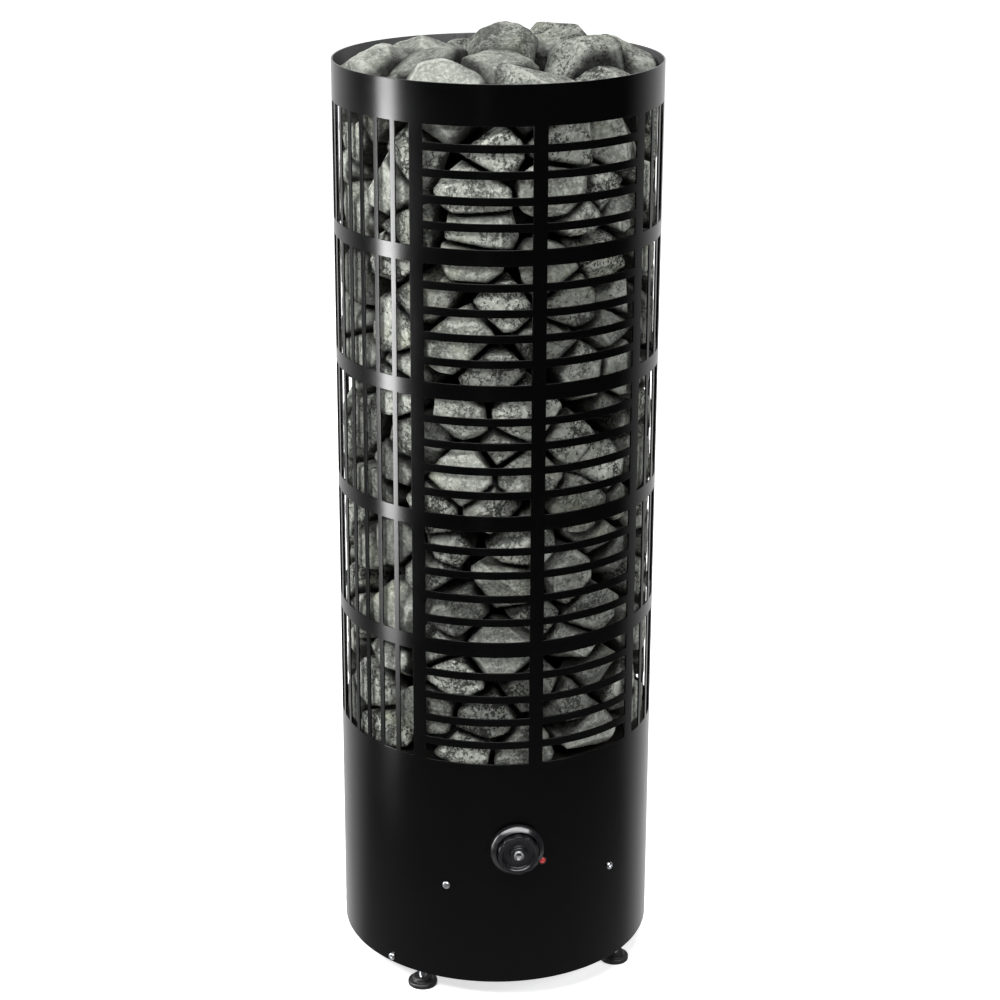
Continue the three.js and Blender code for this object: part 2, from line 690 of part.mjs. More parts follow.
const stoneWall = deckRadius - STONE_WALL_GAP;
const stoneCore = ELEMENT_CIRCLE + ELEMENT_TUBE_RADIUS + STONE_GAP;
const outerRingInside = stoneWall - OUTER_RING_DEPTH;
const coursePitch = (rimLevel - HEAP_DEPTH - stoneFloor) / COURSES;

function stoneSeeds() {
  const seeds = [];
  const ring = (group, count, radius, level, turn, core) => {
    for (let i = 0; i < count; i += 1) {
      const stone = seeds.length;
      const step = 360 / count;
      const angle = (i + turn + STONE_SHIFT * stray(stone, 1)) * step;
      const height = level + STONE_SHIFT * coursePitch * stray(stone, 2);
      const reach = radius + STONE_GAP * stray(stone, 3);
      seeds.push({ stone, group, core, angle, centre: polar(angle, reach, height) });
    }
  };
  for (let course = 0; course < COURSES; course += 1) {
    const group = `stone_course_${String(course + 1).padStart(2, '0')}`;
    const level = stoneFloor + (course + 0.5) * coursePitch;
    const turn = course % 2 ? 0.5 : 0;
    ring(group, OUTER_STONES, (stoneWall + outerRingInside) / 2, level, turn, stoneCore);
    ring(group, INNER_STONES, (stoneCore + outerRingInside) / 2, level, turn, stoneCore);
  }
  const heap = (count, radius, rise, turn) => ring('stone_heap', count, radius, rimLevel + rise, turn, 0);
  heap(HEAP_LOWER_STONES, mantleRadius - HEAP_LOWER_INSET, HEAP_LOWER_RISE, HEAP_LOWER_TURN);
  heap(HEAP_UPPER_STONES, mantleRadius - HEAP_UPPER_INSET, HEAP_UPPER_RISE, HEAP_UPPER_TURN);
  heap(1, HEAP_TOP_OFFSET, HEAP_TOP_RISE, HEAP_TOP_TURN);
  return seeds;
}

// Half the gap is kept from the plane midway to each neighbour
function stonePlanes(seed, seeds) {
  const planes = [{ normal: new THREE.Vector3(0, 0, -1), reach: seed.centre.z - stoneFloor }];
  for (const other of seeds) {
    if (other === seed) continue;
    const normal = other.centre.clone().sub(seed.centre);
    const distance = normal.length();
    planes.push({ normal: normal.divideScalar(distance), reach: (distance - STONE_GAP) / 2 });
  }
  if (seed.core) {
    const radius = Math.hypot(seed.centre.x, seed.centre.y);
    planes.push({ normal: polar(seed.angle + 180, 1), reach: radius - seed.core });
  }
  return planes;
}

// Distance from a stone's centre to the stones' wall along a direction
function wallReach(centre, direction) {
  const a = direction.x ** 2 + direction.y ** 2;
  if (a < 1e-9) return Infinity;
  const b = centre.x * direction.x + centre.y * direction.y;
  const c = centre.x ** 2 + centre.y ** 2 - stoneWall ** 2;
  return (-b + Math.sqrt(b * b - a * c)) / a;
}

// Each stone is a tumbled ellipsoid held inside the planes to its neighbours and inside the wall
function stonePoints(seed, seeds) {
  const { stone, centre } = seed;
  const planes = stonePlanes(seed, seeds);
  const size = new THREE.Vector3(
    between(STONE_LONG, chance(stone, 4)),
    between(STONE_MIDDLE, chance(stone, 5)),
    between(STONE_SHORT, chance(stone, 6)),
  );
  const tumble = new THREE.Euler(
    STONE_TUMBLE * stray(stone, 7),
    STONE_TUMBLE * stray(stone, 8),
    THREE.MathUtils.degToRad(seed.angle) + 2 * STONE_TUMBLE * stray(stone, 9),
  );
  const untumble = new THREE.Quaternion().setFromEuler(tumble).invert();
  const points = [];
  for (let i = 0; i < STONE_POINTS; i += 1) {
    const z = 1 - (2 * i + 1) / STONE_POINTS;
    const turn = i * Math.PI * (3 - Math.sqrt(5)) + 2 * Math.PI * chance(stone, 10);
    const flat = Math.sqrt(1 - z * z);
    const direction = new THREE.Vector3(flat * Math.cos(turn), flat * Math.sin(turn), z);
    const local = direction.clone().applyQuaternion(untumble).divide(size);
    const pulls = planes.map(({ normal, reach }) => normal.dot(direction) / reach);
    const pull = Math.max(local.length(), 1 / wallReach(centre, direction), ...pulls);
    points.push(direction.divideScalar(pull).add(centre));
  }
  return points;
}

// Radius round the point midway between two stones that stays clear of every other stone
function contactRoom(a, b, seeds) {
  const middle = a.centre.clone().lerp(b.centre, 0.5);
  const half = middle.distanceToSquared(a.centre);
  const rooms = seeds.filter((other) => other !== a && other !== b).map(({ centre }) => {
    const spans = [a, b].map((end) => centre.distanceTo(end.centre));
    return (middle.distanceToSquared(centre) - half) / (2 * Math.max(...spans)) - STONE_GAP / 2;
  });
  return Math.min(CONTACT_RADIUS, ...rooms);
}

// Three corners of the small patch midway between two stones that lie against each other
function contactPatch(a, b, seeds) {
  const along = b.centre.clone().sub(a.centre).normalize();
  const side = new THREE.Vector3(0, 0, 1).cross(along).normalize();
  const rise = along.clone().cross(side);
  const middle = a.centre.clone().lerp(b.centre, 0.5);
  const radius = contactRoom(a, b, seeds);
  return Array.from({ length: 3 }, (_, i) => {
    const turn = (i * Math.PI * 2) / 3;
    const offset = side.clone().multiplyScalar(Math.cos(turn)).addScaledVector(rise, Math.sin(turn));
    return middle.clone().addScaledVector(offset, radius);
  });
}

const pointKey = ({ x, y, z }) => [x, y, z].map((value) => value.toFixed(3)).join(' ');

// Triangles of a stone's hull, left open at the patches where it touches others
function openHull(points, patches) {
  const hull = new ConvexGeometry([...points, ...patches.flat()]).getAttribute('position');
  const openings = patches.map((patch) => new Set(patch.map(pointKey)));
  const cornerOf = (_, i) => new THREE.Vector3().fromBufferAttribute(hull, i);
  const corners = Array.from({ length: hull.count }, cornerOf);
  const triangles = [];
  for (let i = 0; i < corners.length; i += 3) {
    const triangle = corners.slice(i, i + 3);
    const opens = openings.some((keys) => triangle.every((corner) => keys.has(pointKey(corner))));
    if (!opens) triangles.push(...triangle);
  }
  return triangles;
}

// The shortest links that hold all stones of a course together, with tight ones last
function courseLinks(members, seeds) {
  const span = ([a, b]) => {
    const tight = contactRoom(a, b, seeds) < CONTACT_RADIUS / 2;
    return a.centre.distanceTo(b.centre) + (tight ? MANTLE_DIAMETER : 0);
  };
  const joined = [members[0]];
  const links = [];
  while (joined.length < members.length) {
    const waiting = members.filter((seed) => !joined.includes(seed));
    const pairs = joined.flatMap((a) => waiting.map((b) => [a, b]));
    const shortest = pairs.reduce((best, pair) => (span(pair) < span(best) ? pair : best));
    links.push(shortest);
    joined.push(shortest[1]);
  }
  return links;
}

// The stones of a course touch each other, and open into each other there, so a course is one body
function stoneCourse(members, seeds) {
  const patches = new Map(members.map((seed) => [seed, []]));
  for (const [a, b] of courseLinks(members, seeds)) {
    const patch = contactPatch(a, b, seeds);
    patches.get(a).push(patch);
    patches.get(b).push(patch);
  }
  const corners = members.flatMap((seed) => openHull(stonePoints(seed, seeds), patches.get(seed)));
  return new THREE.BufferGeometry().setFromPoints(corners);
}

function makeStones() {
  const seeds = stoneSeeds();
  const names = [...new Set(seeds.map(({ group }) => group))];
  for (const name of names) {
    const members = seeds.filter(({ group }) => group === name);
    place(name, stoneCourse(members, seeds), stoneGrey());
  }
}

const bracketOuter = innerRadius;
const unitFront = bracketOuter - BRACKET_SHEET - UNIT_WALL_GAP + CLEARANCE;
const webBack = mantleRadius + BEZEL_WEB_RISE;
const webFront = webBack + BEZEL_WEB;
const nutBack = webFront + CLEARANCE;
const nutFront = nutBack + BUSH_NUT_HEIGHT;
const bushEnd = nutFront + CLEARANCE;
const knobBack = webFront + KNOB_LIFT;
const knobFront = knobBack + KNOB_HEIGHT;
const bezelInner = BEZEL_RADIUS - BEZEL_FACE_WIDTH;
const knobRadius = bezelInner - KNOB_GAP;
const spindleEnd = knobBack + KNOB_BORE_DEPTH - CLEARANCE;
const boreRadius = SPINDLE_RADIUS + HOLE_CLEARANCE;

// Curved plate behind the mantle, held by the two side screws
function makeBracket() {
  const reach = SIDE_SCREW_ANGLE + arcDegrees(BRACKET_EDGE);
  const fills = [[sideScrewLevel - BRACKET_EDGE, controlLevel + BRACKET_TOP_MARGIN]];
  const facet = (2 * reach) / BRACKET_FACETS;
  const columns = [];
  for (let i = 0; i < BRACKET_FACETS; i += 1) columns.push({ from: -reach + i * facet, fills });
  columns.push({ from: reach, fills: [] });
  const plate = rolledSheet(columns, bracketOuter, bracketOuter - BRACKET_SHEET);
  place('control_bracket', cut(plate, controlDrills()), zinc());
}

function makeControl() {
  const frame = wallFrame(CONTROL_ANGLE, controlLevel);
  const unitBack = unitFront - UNIT_DEPTH;
  const boreEnd = unitFront - SPINDLE_ENTRY;
  const housing = box(UNIT_WIDTH, UNIT_WIDTH, unitBack, unitFront);
  const body = join([housing, rod(BUSH_RADIUS, boreEnd, bushEnd)]);
  const bore = drill(boreRadius, boreEnd, bushEnd + CUT_PAST);
  place('control_unit', cut(body, [bore]), blackPlastic(), frame);
  const nut = raised(hexagon(BUSH_NUT_ACROSS), nutBack, nutFront, [[0, 0, bushHole]]);
  place('bush_nut', nut, zinc(), frame);
  place('control_spindle', rod(SPINDLE_RADIUS, boreEnd + CLEARANCE, spindleEnd), zinc(), frame);
  place('control_knob', knobGeometry(), blackPlastic(), frame);
  const seat = knobFront - CAP_SEAT_DEPTH + CLEARANCE;
  const cap = turned([
    [0, seat],
    [CAP_RADIUS, seat],
    [CAP_RADIUS, seat + CAP_EDGE],
    [CAP_FLAT_RADIUS, seat + CAP_HEIGHT],
    [0, seat + CAP_HEIGHT],
  ]);
  place('knob_cap', cap, finish(0xd8dade, 0.12, 1), frame);
}

// Fluted grip with a dished face, a hub in the middle and a recess for the nut behind
function knobGeometry() {
  const outline = [];
  const steps = KNOB_FLUTES * KNOB_FLUTE_STEPS;
  for (let i = 0; i < steps; i += 1) {
    const angle = (i * Math.PI * 2) / steps;
    const flute = (0.5 + 0.5 * Math.cos(KNOB_FLUTES * angle)) ** 2;
    const radius = knobRadius - KNOB_FLUTE_DEPTH * flute;
    outline.push(new THREE.Vector2(radius * Math.cos(angle), radius * Math.sin(angle)));
  }
  const grip = raised(new THREE.Shape(outline), knobBack, knobFront);
  const dishOuter = knobRadius - KNOB_FLUTE_DEPTH - KNOB_RIM_WIDTH;
  const dishFloor = knobFront - KNOB_DISH_DEPTH;
  const past = knobFront + CUT_PAST;
  const dish = turned([
    [KNOB_HUB_RADIUS, dishFloor],
    [dishOuter - KNOB_DISH_DEPTH / 2, dishFloor],
    [dishOuter, past],
    [KNOB_HUB_RADIUS - KNOB_HUB_TAPER, past],
    [KNOB_HUB_RADIUS, dishFloor],
  ], 2 * ROUND_SIDES);
  const nutRoom = BUSH_NUT_ACROSS / Math.sqrt(3) + BUSH_NUT_ROOM;
  const recess = drill(nutRoom, knobBack - CUT_PAST, bushEnd + BUSH_NUT_ROOM, ROUND_SIDES);
  const bore = drill(boreRadius, knobBack - CUT_PAST, spindleEnd + CLEARANCE);
  const capSeat = drill(CAP_RADIUS + CLEARANCE, knobFront - CAP_SEAT_DEPTH, past, ROUND_SIDES);
  return cut(grip, [dish, recess, bore, capSeat]);
}

// The bezel's back follows the mantle, and its edge is cut away round the lamp
function makeBezel() {
  const front = mantleRadius + BEZEL_HEIGHT;
  const back = mantleRadius - SHEET;
  const cup = turned([
    [bushHole, webBack],
    [bezelInner, webBack],
    [bezelInner, back],
    [BEZEL_RADIUS, back],
    [BEZEL_RADIUS, front - BEZEL_CHAMFER],
    [bezelInner + CLEARANCE, front],
    [bezelInner, front],
    [bezelInner, webFront],
    [bushHole, webFront],
    [bushHole, webBack],
  ], 2 * ROUND_SIDES);
  const frame = wallFrame(CONTROL_ANGLE, controlLevel);
  frame.removeFromParent();
  const wallSides = 2 * SHEET_SIDES;
  const [low, high] = [-1, 1].map((side) => controlLevel + 2 * side * BEZEL_RADIUS);
  const wall = drill(mantleRadius + CLEARANCE, low, high, wallSides);
  const lampRadius = LAMP_FLANGE_RADIUS + CLEARANCE;
  const lampRoom = wallDrill(lampAngle, lampLevel, lampRadius, ROUND_SIDES, 2 * BEZEL_HEIGHT);
  place('knob_bezel', cut(cup.applyMatrix4(frame.matrix), [wall, lampRoom]), blackPlastic());
}

function makeLamp() {
  const frame = wallFrame(lampAngle, lampLevel);
  const back = mantleRadius + CLEARANCE;
  const front = back + LAMP_FLANGE_HEIGHT;
  const seat = front - LENS_SEAT_DEPTH;
  const body = turned([
    [0, back - LAMP_BARREL_LENGTH],
    [LAMP_BARREL_RADIUS, back - LAMP_BARREL_LENGTH],
    [LAMP_BARREL_RADIUS, back],
    [LAMP_FLANGE_RADIUS, back],
    [LAMP_FLANGE_RADIUS, front],
    [LENS_RADIUS + CLEARANCE, front],
    [LENS_RADIUS + CLEARANCE, seat],
    [0, seat],
  ]);
  place('indicator_body', body, blackPlastic(), frame);
  const lens = turned([
    [0, seat + CLEARANCE],
    [LENS_RADIUS, seat + CLEARANCE],
    [LENS_RADIUS, front],
    [LENS_SHOULDER_RADIUS, front + LENS_SHOULDER],
    [0, front + LENS_DOME],
  ]);
  place('indicator_lens', lens, finish(0xb5232a, 0.2, 0), frame);
}

// Button-head screw with a socket, its head against the mantle
function makeScrew(name, angle, level) {
  const face = mantleRadius + CLEARANCE;
  const crown = face + SCREW_HEAD_HEIGHT;
  const screw = turned([
    [0, face - SCREW_LENGTH],
    [SCREW_RADIUS, face - SCREW_LENGTH],
    [SCREW_RADIUS, face],
    [SCREW_HEAD_RADIUS, face],
    [SCREW_SHOULDER_RADIUS, face + SCREW_HEAD_HEIGHT / 2],
    [SCREW_CROWN_RADIUS, crown],
    [SCREW_SOCKET_RADIUS, crown],
    [SCREW_SOCKET_RADIUS, crown - SCREW_SOCKET_DEPTH],
    [0, crown - SCREW_SOCKET_DEPTH],
  ], SMALL_SIDES);
  place(name, screw, zinc(), wallFrame(angle, level));
}

function makeScrews() {
  makeScrew('side_screw_left', -SIDE_SCREW_ANGLE, sideScrewLevel);
  makeScrew('side_screw_right', SIDE_SCREW_ANGLE, sideScrewLevel);
  lowScrewAngles.forEach((angle, i) => makeScrew(`low_screw_${i + 1}`, angle, lowScrewLevel));
}

function makeFeet() {
  const collarTop = FOOT_EDGE + FOOT_COLLAR_HEIGHT;
  const socket = STEM_RADIUS + HOLE_CLEARANCE;
  const pad = [
    [0, 0],
    [FOOT_RADIUS - FOOT_LOWER_CHAMFER, 0],
    [FOOT_RADIUS, FOOT_LOWER_CHAMFER],
    [FOOT_RADIUS, FOOT_EDGE - FOOT_UPPER_CHAMFER],
    [FOOT_RADIUS - FOOT_UPPER_CHAMFER, FOOT_EDGE],
    [FOOT_COLLAR_RADIUS, FOOT_EDGE],
    [FOOT_COLLAR_RADIUS, collarTop],
    [socket, collarTop],
    [socket, FOOT_FLOOR],
    [0, FOOT_FLOOR],
  ];
  const stemLow = FOOT_FLOOR + CLEARANCE;
  const nutHigh = plateBottom - CLEARANCE;
  footAngles.forEach((angle, i) => {
    const frame = floorFrame(angle, footCircle, 0);
    place(`foot_pad_${i + 1}`, turned(pad), blackPlastic(), frame);
    place(`foot_stem_${i + 1}`, rod(STEM_RADIUS, stemLow, stemLow + STEM_LENGTH), zinc(), frame);
    const nut = raised(hexagon(FOOT_NUT_ACROSS), nutHigh - FOOT_NUT_HEIGHT, nutHigh, [[0, 0, socket]]);
    place(`foot_nut_${i + 1}`, nut, zinc(), frame);
  });
}

// Comb of barriers between the poles, raised along its middle
function makeTerminalBlock() {
  const width = BLOCK_POLES * BLOCK_POLE_WIDTH + BLOCK_RIB;
  const low = plateTop + CLEARANCE;
  const pieces = [box(width, BLOCK_DEPTH - 2 * BLOCK_STEP, low, low + BLOCK_HEIGHT - BLOCK_STEP)];
  pieces.push(box(width, BLOCK_DEPTH, low, low + BLOCK_STEP));
  for (let pole = 0; pole <= BLOCK_POLES; pole += 1) {
    const rib = box(BLOCK_RIB, BLOCK_DEPTH, low, low + BLOCK_HEIGHT);
    pieces.push(rib.translate((pole - BLOCK_POLES / 2) * BLOCK_POLE_WIDTH, 0, 0));
  }
  place('terminal_block', join(pieces), finish(0xd9d4c6, 0.6, 0), floorFrame(BLOCK_ANGLE, blockCircle, 0));
}

// Gland closed by its blanking plug, with the lock nut inside the mantle
function makeGland() {
  const frame = wallFrame(GLAND_ANGLE, glandLevel);
  const face = mantleRadius + CLEARANCE;
  const wallInside = Math.sqrt(innerRadius ** 2 - GLAND_NUT_ACROSS ** 2 / 3) - CLEARANCE;
  const hexFront = face + GLAND_HEX;
  const hex = raised(hexagon(GLAND_ACROSS), face, hexFront);
  const thread = rod(GLAND_THREAD_RADIUS, wallInside - GLAND_INNER_LENGTH, face + CUT_PAST, ROUND_SIDES);
  const dome = turned([
    [0, face + CUT_PAST],
    [GLAND_DOME_RADIUS, face + CUT_PAST],
    [GLAND_DOME_RADIUS, hexFront + GLAND_DOME_EDGE],
    [GLAND_DOME_FLAT_RADIUS, hexFront + GLAND_DOME],
    [0, hexFront + GLAND_DOME],
  ]);
  place('cable_gland', join([hex, thread, dome]), blackPlastic(), frame);
  const hole = [[0, 0, GLAND_THREAD_RADIUS + HOLE_CLEARANCE]];
  const nut = raised(hexagon(GLAND_NUT_ACROSS), wallInside - GLAND_NUT_HEIGHT, wallInside, hole, ROUND_SIDES);
  place('gland_nut', nut, blackPlastic(), frame);
}

// The reset button is pushed up into the limiter from below the base plate
function makeLimiter() {
  const frame = floorFrame(LIMITER_ANGLE, limiterCircle, 0);
  const low = plateTop + CLEARANCE;
  const boreTop = low + BUTTON_STEM + BUTTON_TRAVEL + CLEARANCE;
  const bore = drill(BUTTON_RADIUS + HOLE_CLEARANCE, low - CUT_PAST, boreTop);
  const body = box(LIMITER_WIDTH, LIMITER_DEPTH, low, low + LIMITER_HEIGHT);
  place('overheat_limiter', cut(body, [bore]), finish(0x2b2b2d, 0.5, 0), frame);
  const capTop = plateBottom - BUTTON_TRAVEL - CLEARANCE;
  const capBottom = capTop - BUTTON_CAP_HEIGHT;
  const button = turned([
    [0, capBottom],
    [BUTTON_CAP_RADIUS - BUTTON_CAP_CHAMFER, capBottom],
    [BUTTON_CAP_RADIUS, capBottom + BUTTON_CAP_CHAMFER],
    [BUTTON_CAP_RADIUS, capTop],
    [BUTTON_RADIUS, capTop],
    [BUTTON_RADIUS, low + BUTTON_STEM],
    [0, low + BUTTON_STEM],
  ]);
  place('reset_button', button, finish(0xc03028, 0.4, 0), frame);
}

// Wiring from the terminal block's top to the back of the control unit
function makeHarness() {
  const blockTop = plateTop + CLEARANCE + BLOCK_HEIGHT + CLEARANCE;
  const unitBack = unitFront - UNIT_DEPTH - CLEARANCE;
  const entryLevel = controlLevel - UNIT_WIDTH / 3;
  const route = new THREE.CatmullRomCurve3([
    polar(BLOCK_ANGLE, blockCircle, blockTop),
    polar(BLOCK_ANGLE, blockCircle, blockTop + 3 * HARNESS_RADIUS),
    polar(BLOCK_ANGLE, blockCircle / 2, blockTop + 8 * HARNESS_RADIUS),
    polar(CONTROL_ANGLE, unitBack / 2, (blockTop + entryLevel) / 2),
    polar(CONTROL_ANGLE, unitBack - 3 * HARNESS_RADIUS, entryLevel),
    polar(CONTROL_ANGLE, unitBack, entryLevel),
  ]);
  const section = polygon(HARNESS_RADIUS, HARNESS_SIDES);
  const harness = new THREE.ExtrudeGeometry(section, { steps: HARNESS_STEPS, extrudePath: route });
  place('control_harness', harness, finish(0x3a3632, 0.7, 0));
}

makeMantle();
makeSeamStrip();
makeBasePlate();
makeDeck();
makeHeatShield();
makePosts();
makeElements();
makeStarLink();
makeStones();
makeBracket();
makeControl();
makeBezel();
makeLamp();
makeScrews();
makeFeet();
makeTerminalBlock();
makeGland();
makeLimiter();
makeHarness();

export default heater;
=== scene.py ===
import json
import math

import bmesh
import bpy
import numpy as np
from mathutils import Matrix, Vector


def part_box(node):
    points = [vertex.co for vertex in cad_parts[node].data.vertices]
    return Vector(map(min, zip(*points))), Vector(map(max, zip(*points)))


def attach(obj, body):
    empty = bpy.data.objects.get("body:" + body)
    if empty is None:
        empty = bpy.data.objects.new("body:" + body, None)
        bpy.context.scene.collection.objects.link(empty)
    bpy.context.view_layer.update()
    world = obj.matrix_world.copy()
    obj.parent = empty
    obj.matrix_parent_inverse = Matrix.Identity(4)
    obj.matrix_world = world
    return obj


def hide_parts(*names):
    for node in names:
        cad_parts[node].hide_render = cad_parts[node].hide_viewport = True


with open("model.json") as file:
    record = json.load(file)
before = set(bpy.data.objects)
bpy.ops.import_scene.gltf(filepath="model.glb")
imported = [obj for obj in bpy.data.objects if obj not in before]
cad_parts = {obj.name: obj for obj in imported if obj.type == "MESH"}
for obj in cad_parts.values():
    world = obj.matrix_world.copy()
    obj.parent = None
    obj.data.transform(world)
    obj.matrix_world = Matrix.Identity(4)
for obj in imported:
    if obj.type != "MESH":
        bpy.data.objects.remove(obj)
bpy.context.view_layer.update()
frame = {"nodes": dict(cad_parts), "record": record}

bl_info = {
    "name": "Pillar sauna heater",
    "version": (1, 0, 0),
    "blender": (4, 5, 0),
    "location": "3D View > Sidebar > Heater",
    "description": "Fine surfaces, finishes and a studio for a pillar sauna heater full of stones",
    "category": "Object",
}

# Metres, +Z up, origin on the heater's axis at floor level, front towards -Y.
# Angles run round the axis from the front, positive towards +X.
MM = 0.001
TAU = 2 * math.pi
MAIN_BODY = "heater"
CONTROL_BODY = "control"
MERGE_DISTANCE = 1e-6


# Properties that a user would change
def length(label, millimetres, text):
    """A length, written in millimetres and kept in metres."""
    return bpy.props.FloatProperty(
        name=label, description=text, default=millimetres * MM, unit="LENGTH", precision=5
    )


def span(label, low, high, text):
    """A smallest and a largest length, written in millimetres and kept in metres."""
    return bpy.props.FloatVectorProperty(
        name=label, description=text, default=(low * MM, high * MM), size=2, unit="LENGTH", precision=5
    )


def turn(label, degrees, text):
    """An angle, written in degrees and kept in radians."""
    return bpy.props.FloatProperty(
        name=label, description=text, default=math.radians(degrees), subtype="ANGLE", unit="ROTATION"
    )


def count(label, number, text):
    """How many of something there are."""
    return bpy.props.IntProperty(name=label, description=text, default=number, min=1)


def counts(label, numbers, text):
    """How many of something there are, for each kind."""
    return bpy.props.IntVectorProperty(name=label, description=text, default=numbers, size=len(numbers), min=1)


def ratio(label, value, text):
    """A plain number."""
    return bpy.props.FloatProperty(name=label, description=text, default=value)


def shares(label, values, text):
    """Plain numbers, one for each kind or end."""
    return bpy.props.FloatVectorProperty(name=label, description=text, default=values, size=len(values))


def factor(label, value, text):
    """A share from 0 to 1."""
    return bpy.props.FloatProperty(
        name=label, description=text, default=value, min=0.0, max=1.0, subtype="FACTOR"
    )


def tint(label, colour, text):
    """A colour in linear light."""
    return bpy.props.FloatVectorProperty(
        name=label, description=text, default=colour, size=3, min=0.0, max=1.0, subtype="COLOR"
    )


class MantleSizes(bpy.types.PropertyGroup):
    """Sizes of the slotted mantle and its seam."""

    radius: length("Radius", 160, "Outside of the mantle")
    sheet: length("Sheet", 1.5, "Thickness of the rolled sheet")
    floor_gap: length("Floor gap", 22, "Floor to the mantle's lower edge")
    casing_height: length("Casing height", 242, "Plain part below the slots")
    rows: count("Rows", 5, "Rows of slots")
    slots: count("Slots", 5, "Cross slots in a row")
    slot_height: length("Slot height", 16.4, "Height of a cross slot")
    bar_height: length("Bar height", 7.9, "Bar between two cross slots")
    hoop_height: length("Hoop height", 15.7, "Plain hoop between two rows")
    band_height: length("Band height", 38.3, "Plain band at the rim")
    slot_width: length("Slot width", 104, "Length of a cross slot round the mantle")
    post_width: length("Post width", 14, "Post beside a cross slot")
    panels: count("Panels", 2, "Panels of cross slots at the front, and as many at the back")
    uprights: count("Upright slots", 12, "Upright slots at each side")
    upright_bar: length("Upright bar", 5.9, "Bar between two upright slots")
    edge: length("Edge", 0.35, "Rounding of the cut edges")
    seam_width: length("Seam width", 10.5, "Strip behind the back post")
    seam_sheet: length("Seam sheet", 1.2, "Thickness of the strip")
    rivets: count("Rivets", 5, "Rivets in the seam")
    rivet_radius: length("Rivet radius", 3.2, "Head of a rivet")
    rivet_height: length("Rivet height", 1.1, "Height of a rivet's head")


class StoneSizes(bpy.types.PropertyGroup):
    """Sizes of the stones and how they lie."""

    courses: count("Courses", 11, "Solid courses of stones inside the mantle")
    layers: count("Layers", 18, "Layers of stones that fill the courses")
    outer: count("Outer stones", 12, "Stones in a layer's outer ring")
    inner: count("Inner stones", 6, "Stones in a layer's inner ring")
    gap: length("Gap", 4, "Between neighbouring stones")
    # Crevice, Shade and Darkest set painted shade: a stone's tone is darkened towards its neighbours and with its depth
    # behind the wall, down to the darkest share.
    painted_crevice_shade: span("Crevice", 5, 13, "Reach of the darkening between stones in the courses and in the heap")
    shade: span("Shade", 10, 40, "Depths behind the wall between which the stones grow dark")
    painted_shade_darkest: factor("Darkest", 0.06, "Share of its tone that a stone keeps in the dark")
    wall: length("Wall", 154.27, "Radius that the stones keep within")
    core: length("Core", 47, "Radius kept free round the heating elements")
    ring_depth: length("Ring depth", 46, "Depth of the outer ring")
    floor: length("Floor", 258.6, "Level that the lowest course lies on")
    long: span("Long", 46, 64, "Half a stone's length")
    middle: span("Middle", 38, 50, "Half a stone's width")
    short: span("Short", 30, 39, "Half a stone's height")
    tumble: turn("Tumble", 28.648, "Lean of a stone either way")
    shift: factor("Shift", 0.27, "Share of the spacing that a stone may stray")
    heap_depth: length("Heap depth", 50, "Rim to the top of the courses")
    heap_first: count("First heap stone", 165, "Number of the heap's first stone, from which its chances come")
    heap_lower: count("Lower heap stones", 9, "Stones round the heap's foot")
    heap_lower_inset: length("Lower heap inset", 42, "Mantle's outside to these stones' middles")
    heap_lower_rise: length("Lower heap rise", -38, "These stones' middles above the rim")
    heap_upper: count("Upper heap stones", 5, "Stones higher on the heap")
    heap_upper_inset: length("Upper heap inset", 82, "Mantle's outside to these stones' middles")
    heap_upper_rise: length("Upper heap rise", -24, "These stones' middles above the rim")
    heap_top: count("Top stones", 1, "Stones on top of the heap")
    heap_top_offset: length("Top stone offset", 5, "Top stones' middles from the axis")
    heap_top_rise: length("Top stone rise", 1, "Top stones' middles above the rim")
    heap_lower_turn: ratio("Lower heap turn", 2.25, "First stone's place in shares of the ring's spacing")
    heap_upper_turn: ratio("Upper heap turn", 0.85, "First stone's place in shares of the ring's spacing")
    heap_top_turn: ratio("Top stone turn", 0.38, "First stone's place in shares of the ring's spacing")
    sway: shares("Sway", (8, 4, 3), "Millimetres that a stone may stray to or from the axis, for each kind")
    variety: shares("Variety", (0.32, 0.2, 0.0), "How much a stone takes from its neighbours' room, for each kind")
    crag: shares("Crag", (0.05, 0.05, 0.1), "Share of a stone's reach that its roughness takes away, for each kind")
    breaks: counts("Breaks", (12, 6, 15), "Broken faces on a stone of the outer ring, the inner ring and the heap")
    break_low: shares("Break from", (0.58, 0.88, 0.68), "Least share of a stone's reach at a break, for each kind")
    break_high: shares("Break to", (0.95, 1.0, 0.94), "Greatest share of a stone's reach at a break, for each kind")
    fullness: shares("Fullness", (0.93, 1.1, 1.2), "Size of a stone before its faces are broken, for each kind")
    focus: shares("Focus", (0.55, 0.0, 0.0), "How closely a stone's points crowd towards the outside, for each kind")
    rows: counts("Rows", (44, 20, 60), "Rows of points from pole to pole, for each kind")
    columns: counts("Columns", (70, 32, 80), "Points round a stone, for each kind")
    brightness: shares("Brightness", (1.05, 0.6, 0.82), "Tone of the stones, for each kind")
    tones: shares("Tones", (0.5, 0.3, 0.22), "How much the stones' tones differ, for each kind")
    pits: shares("Pits", (1.0, 1.0, 0.75), "Share of dark pits on the stones, for each kind")
    sharpness: ratio("Sharpness", 90, "Power of the smooth maximum that rounds the edges")


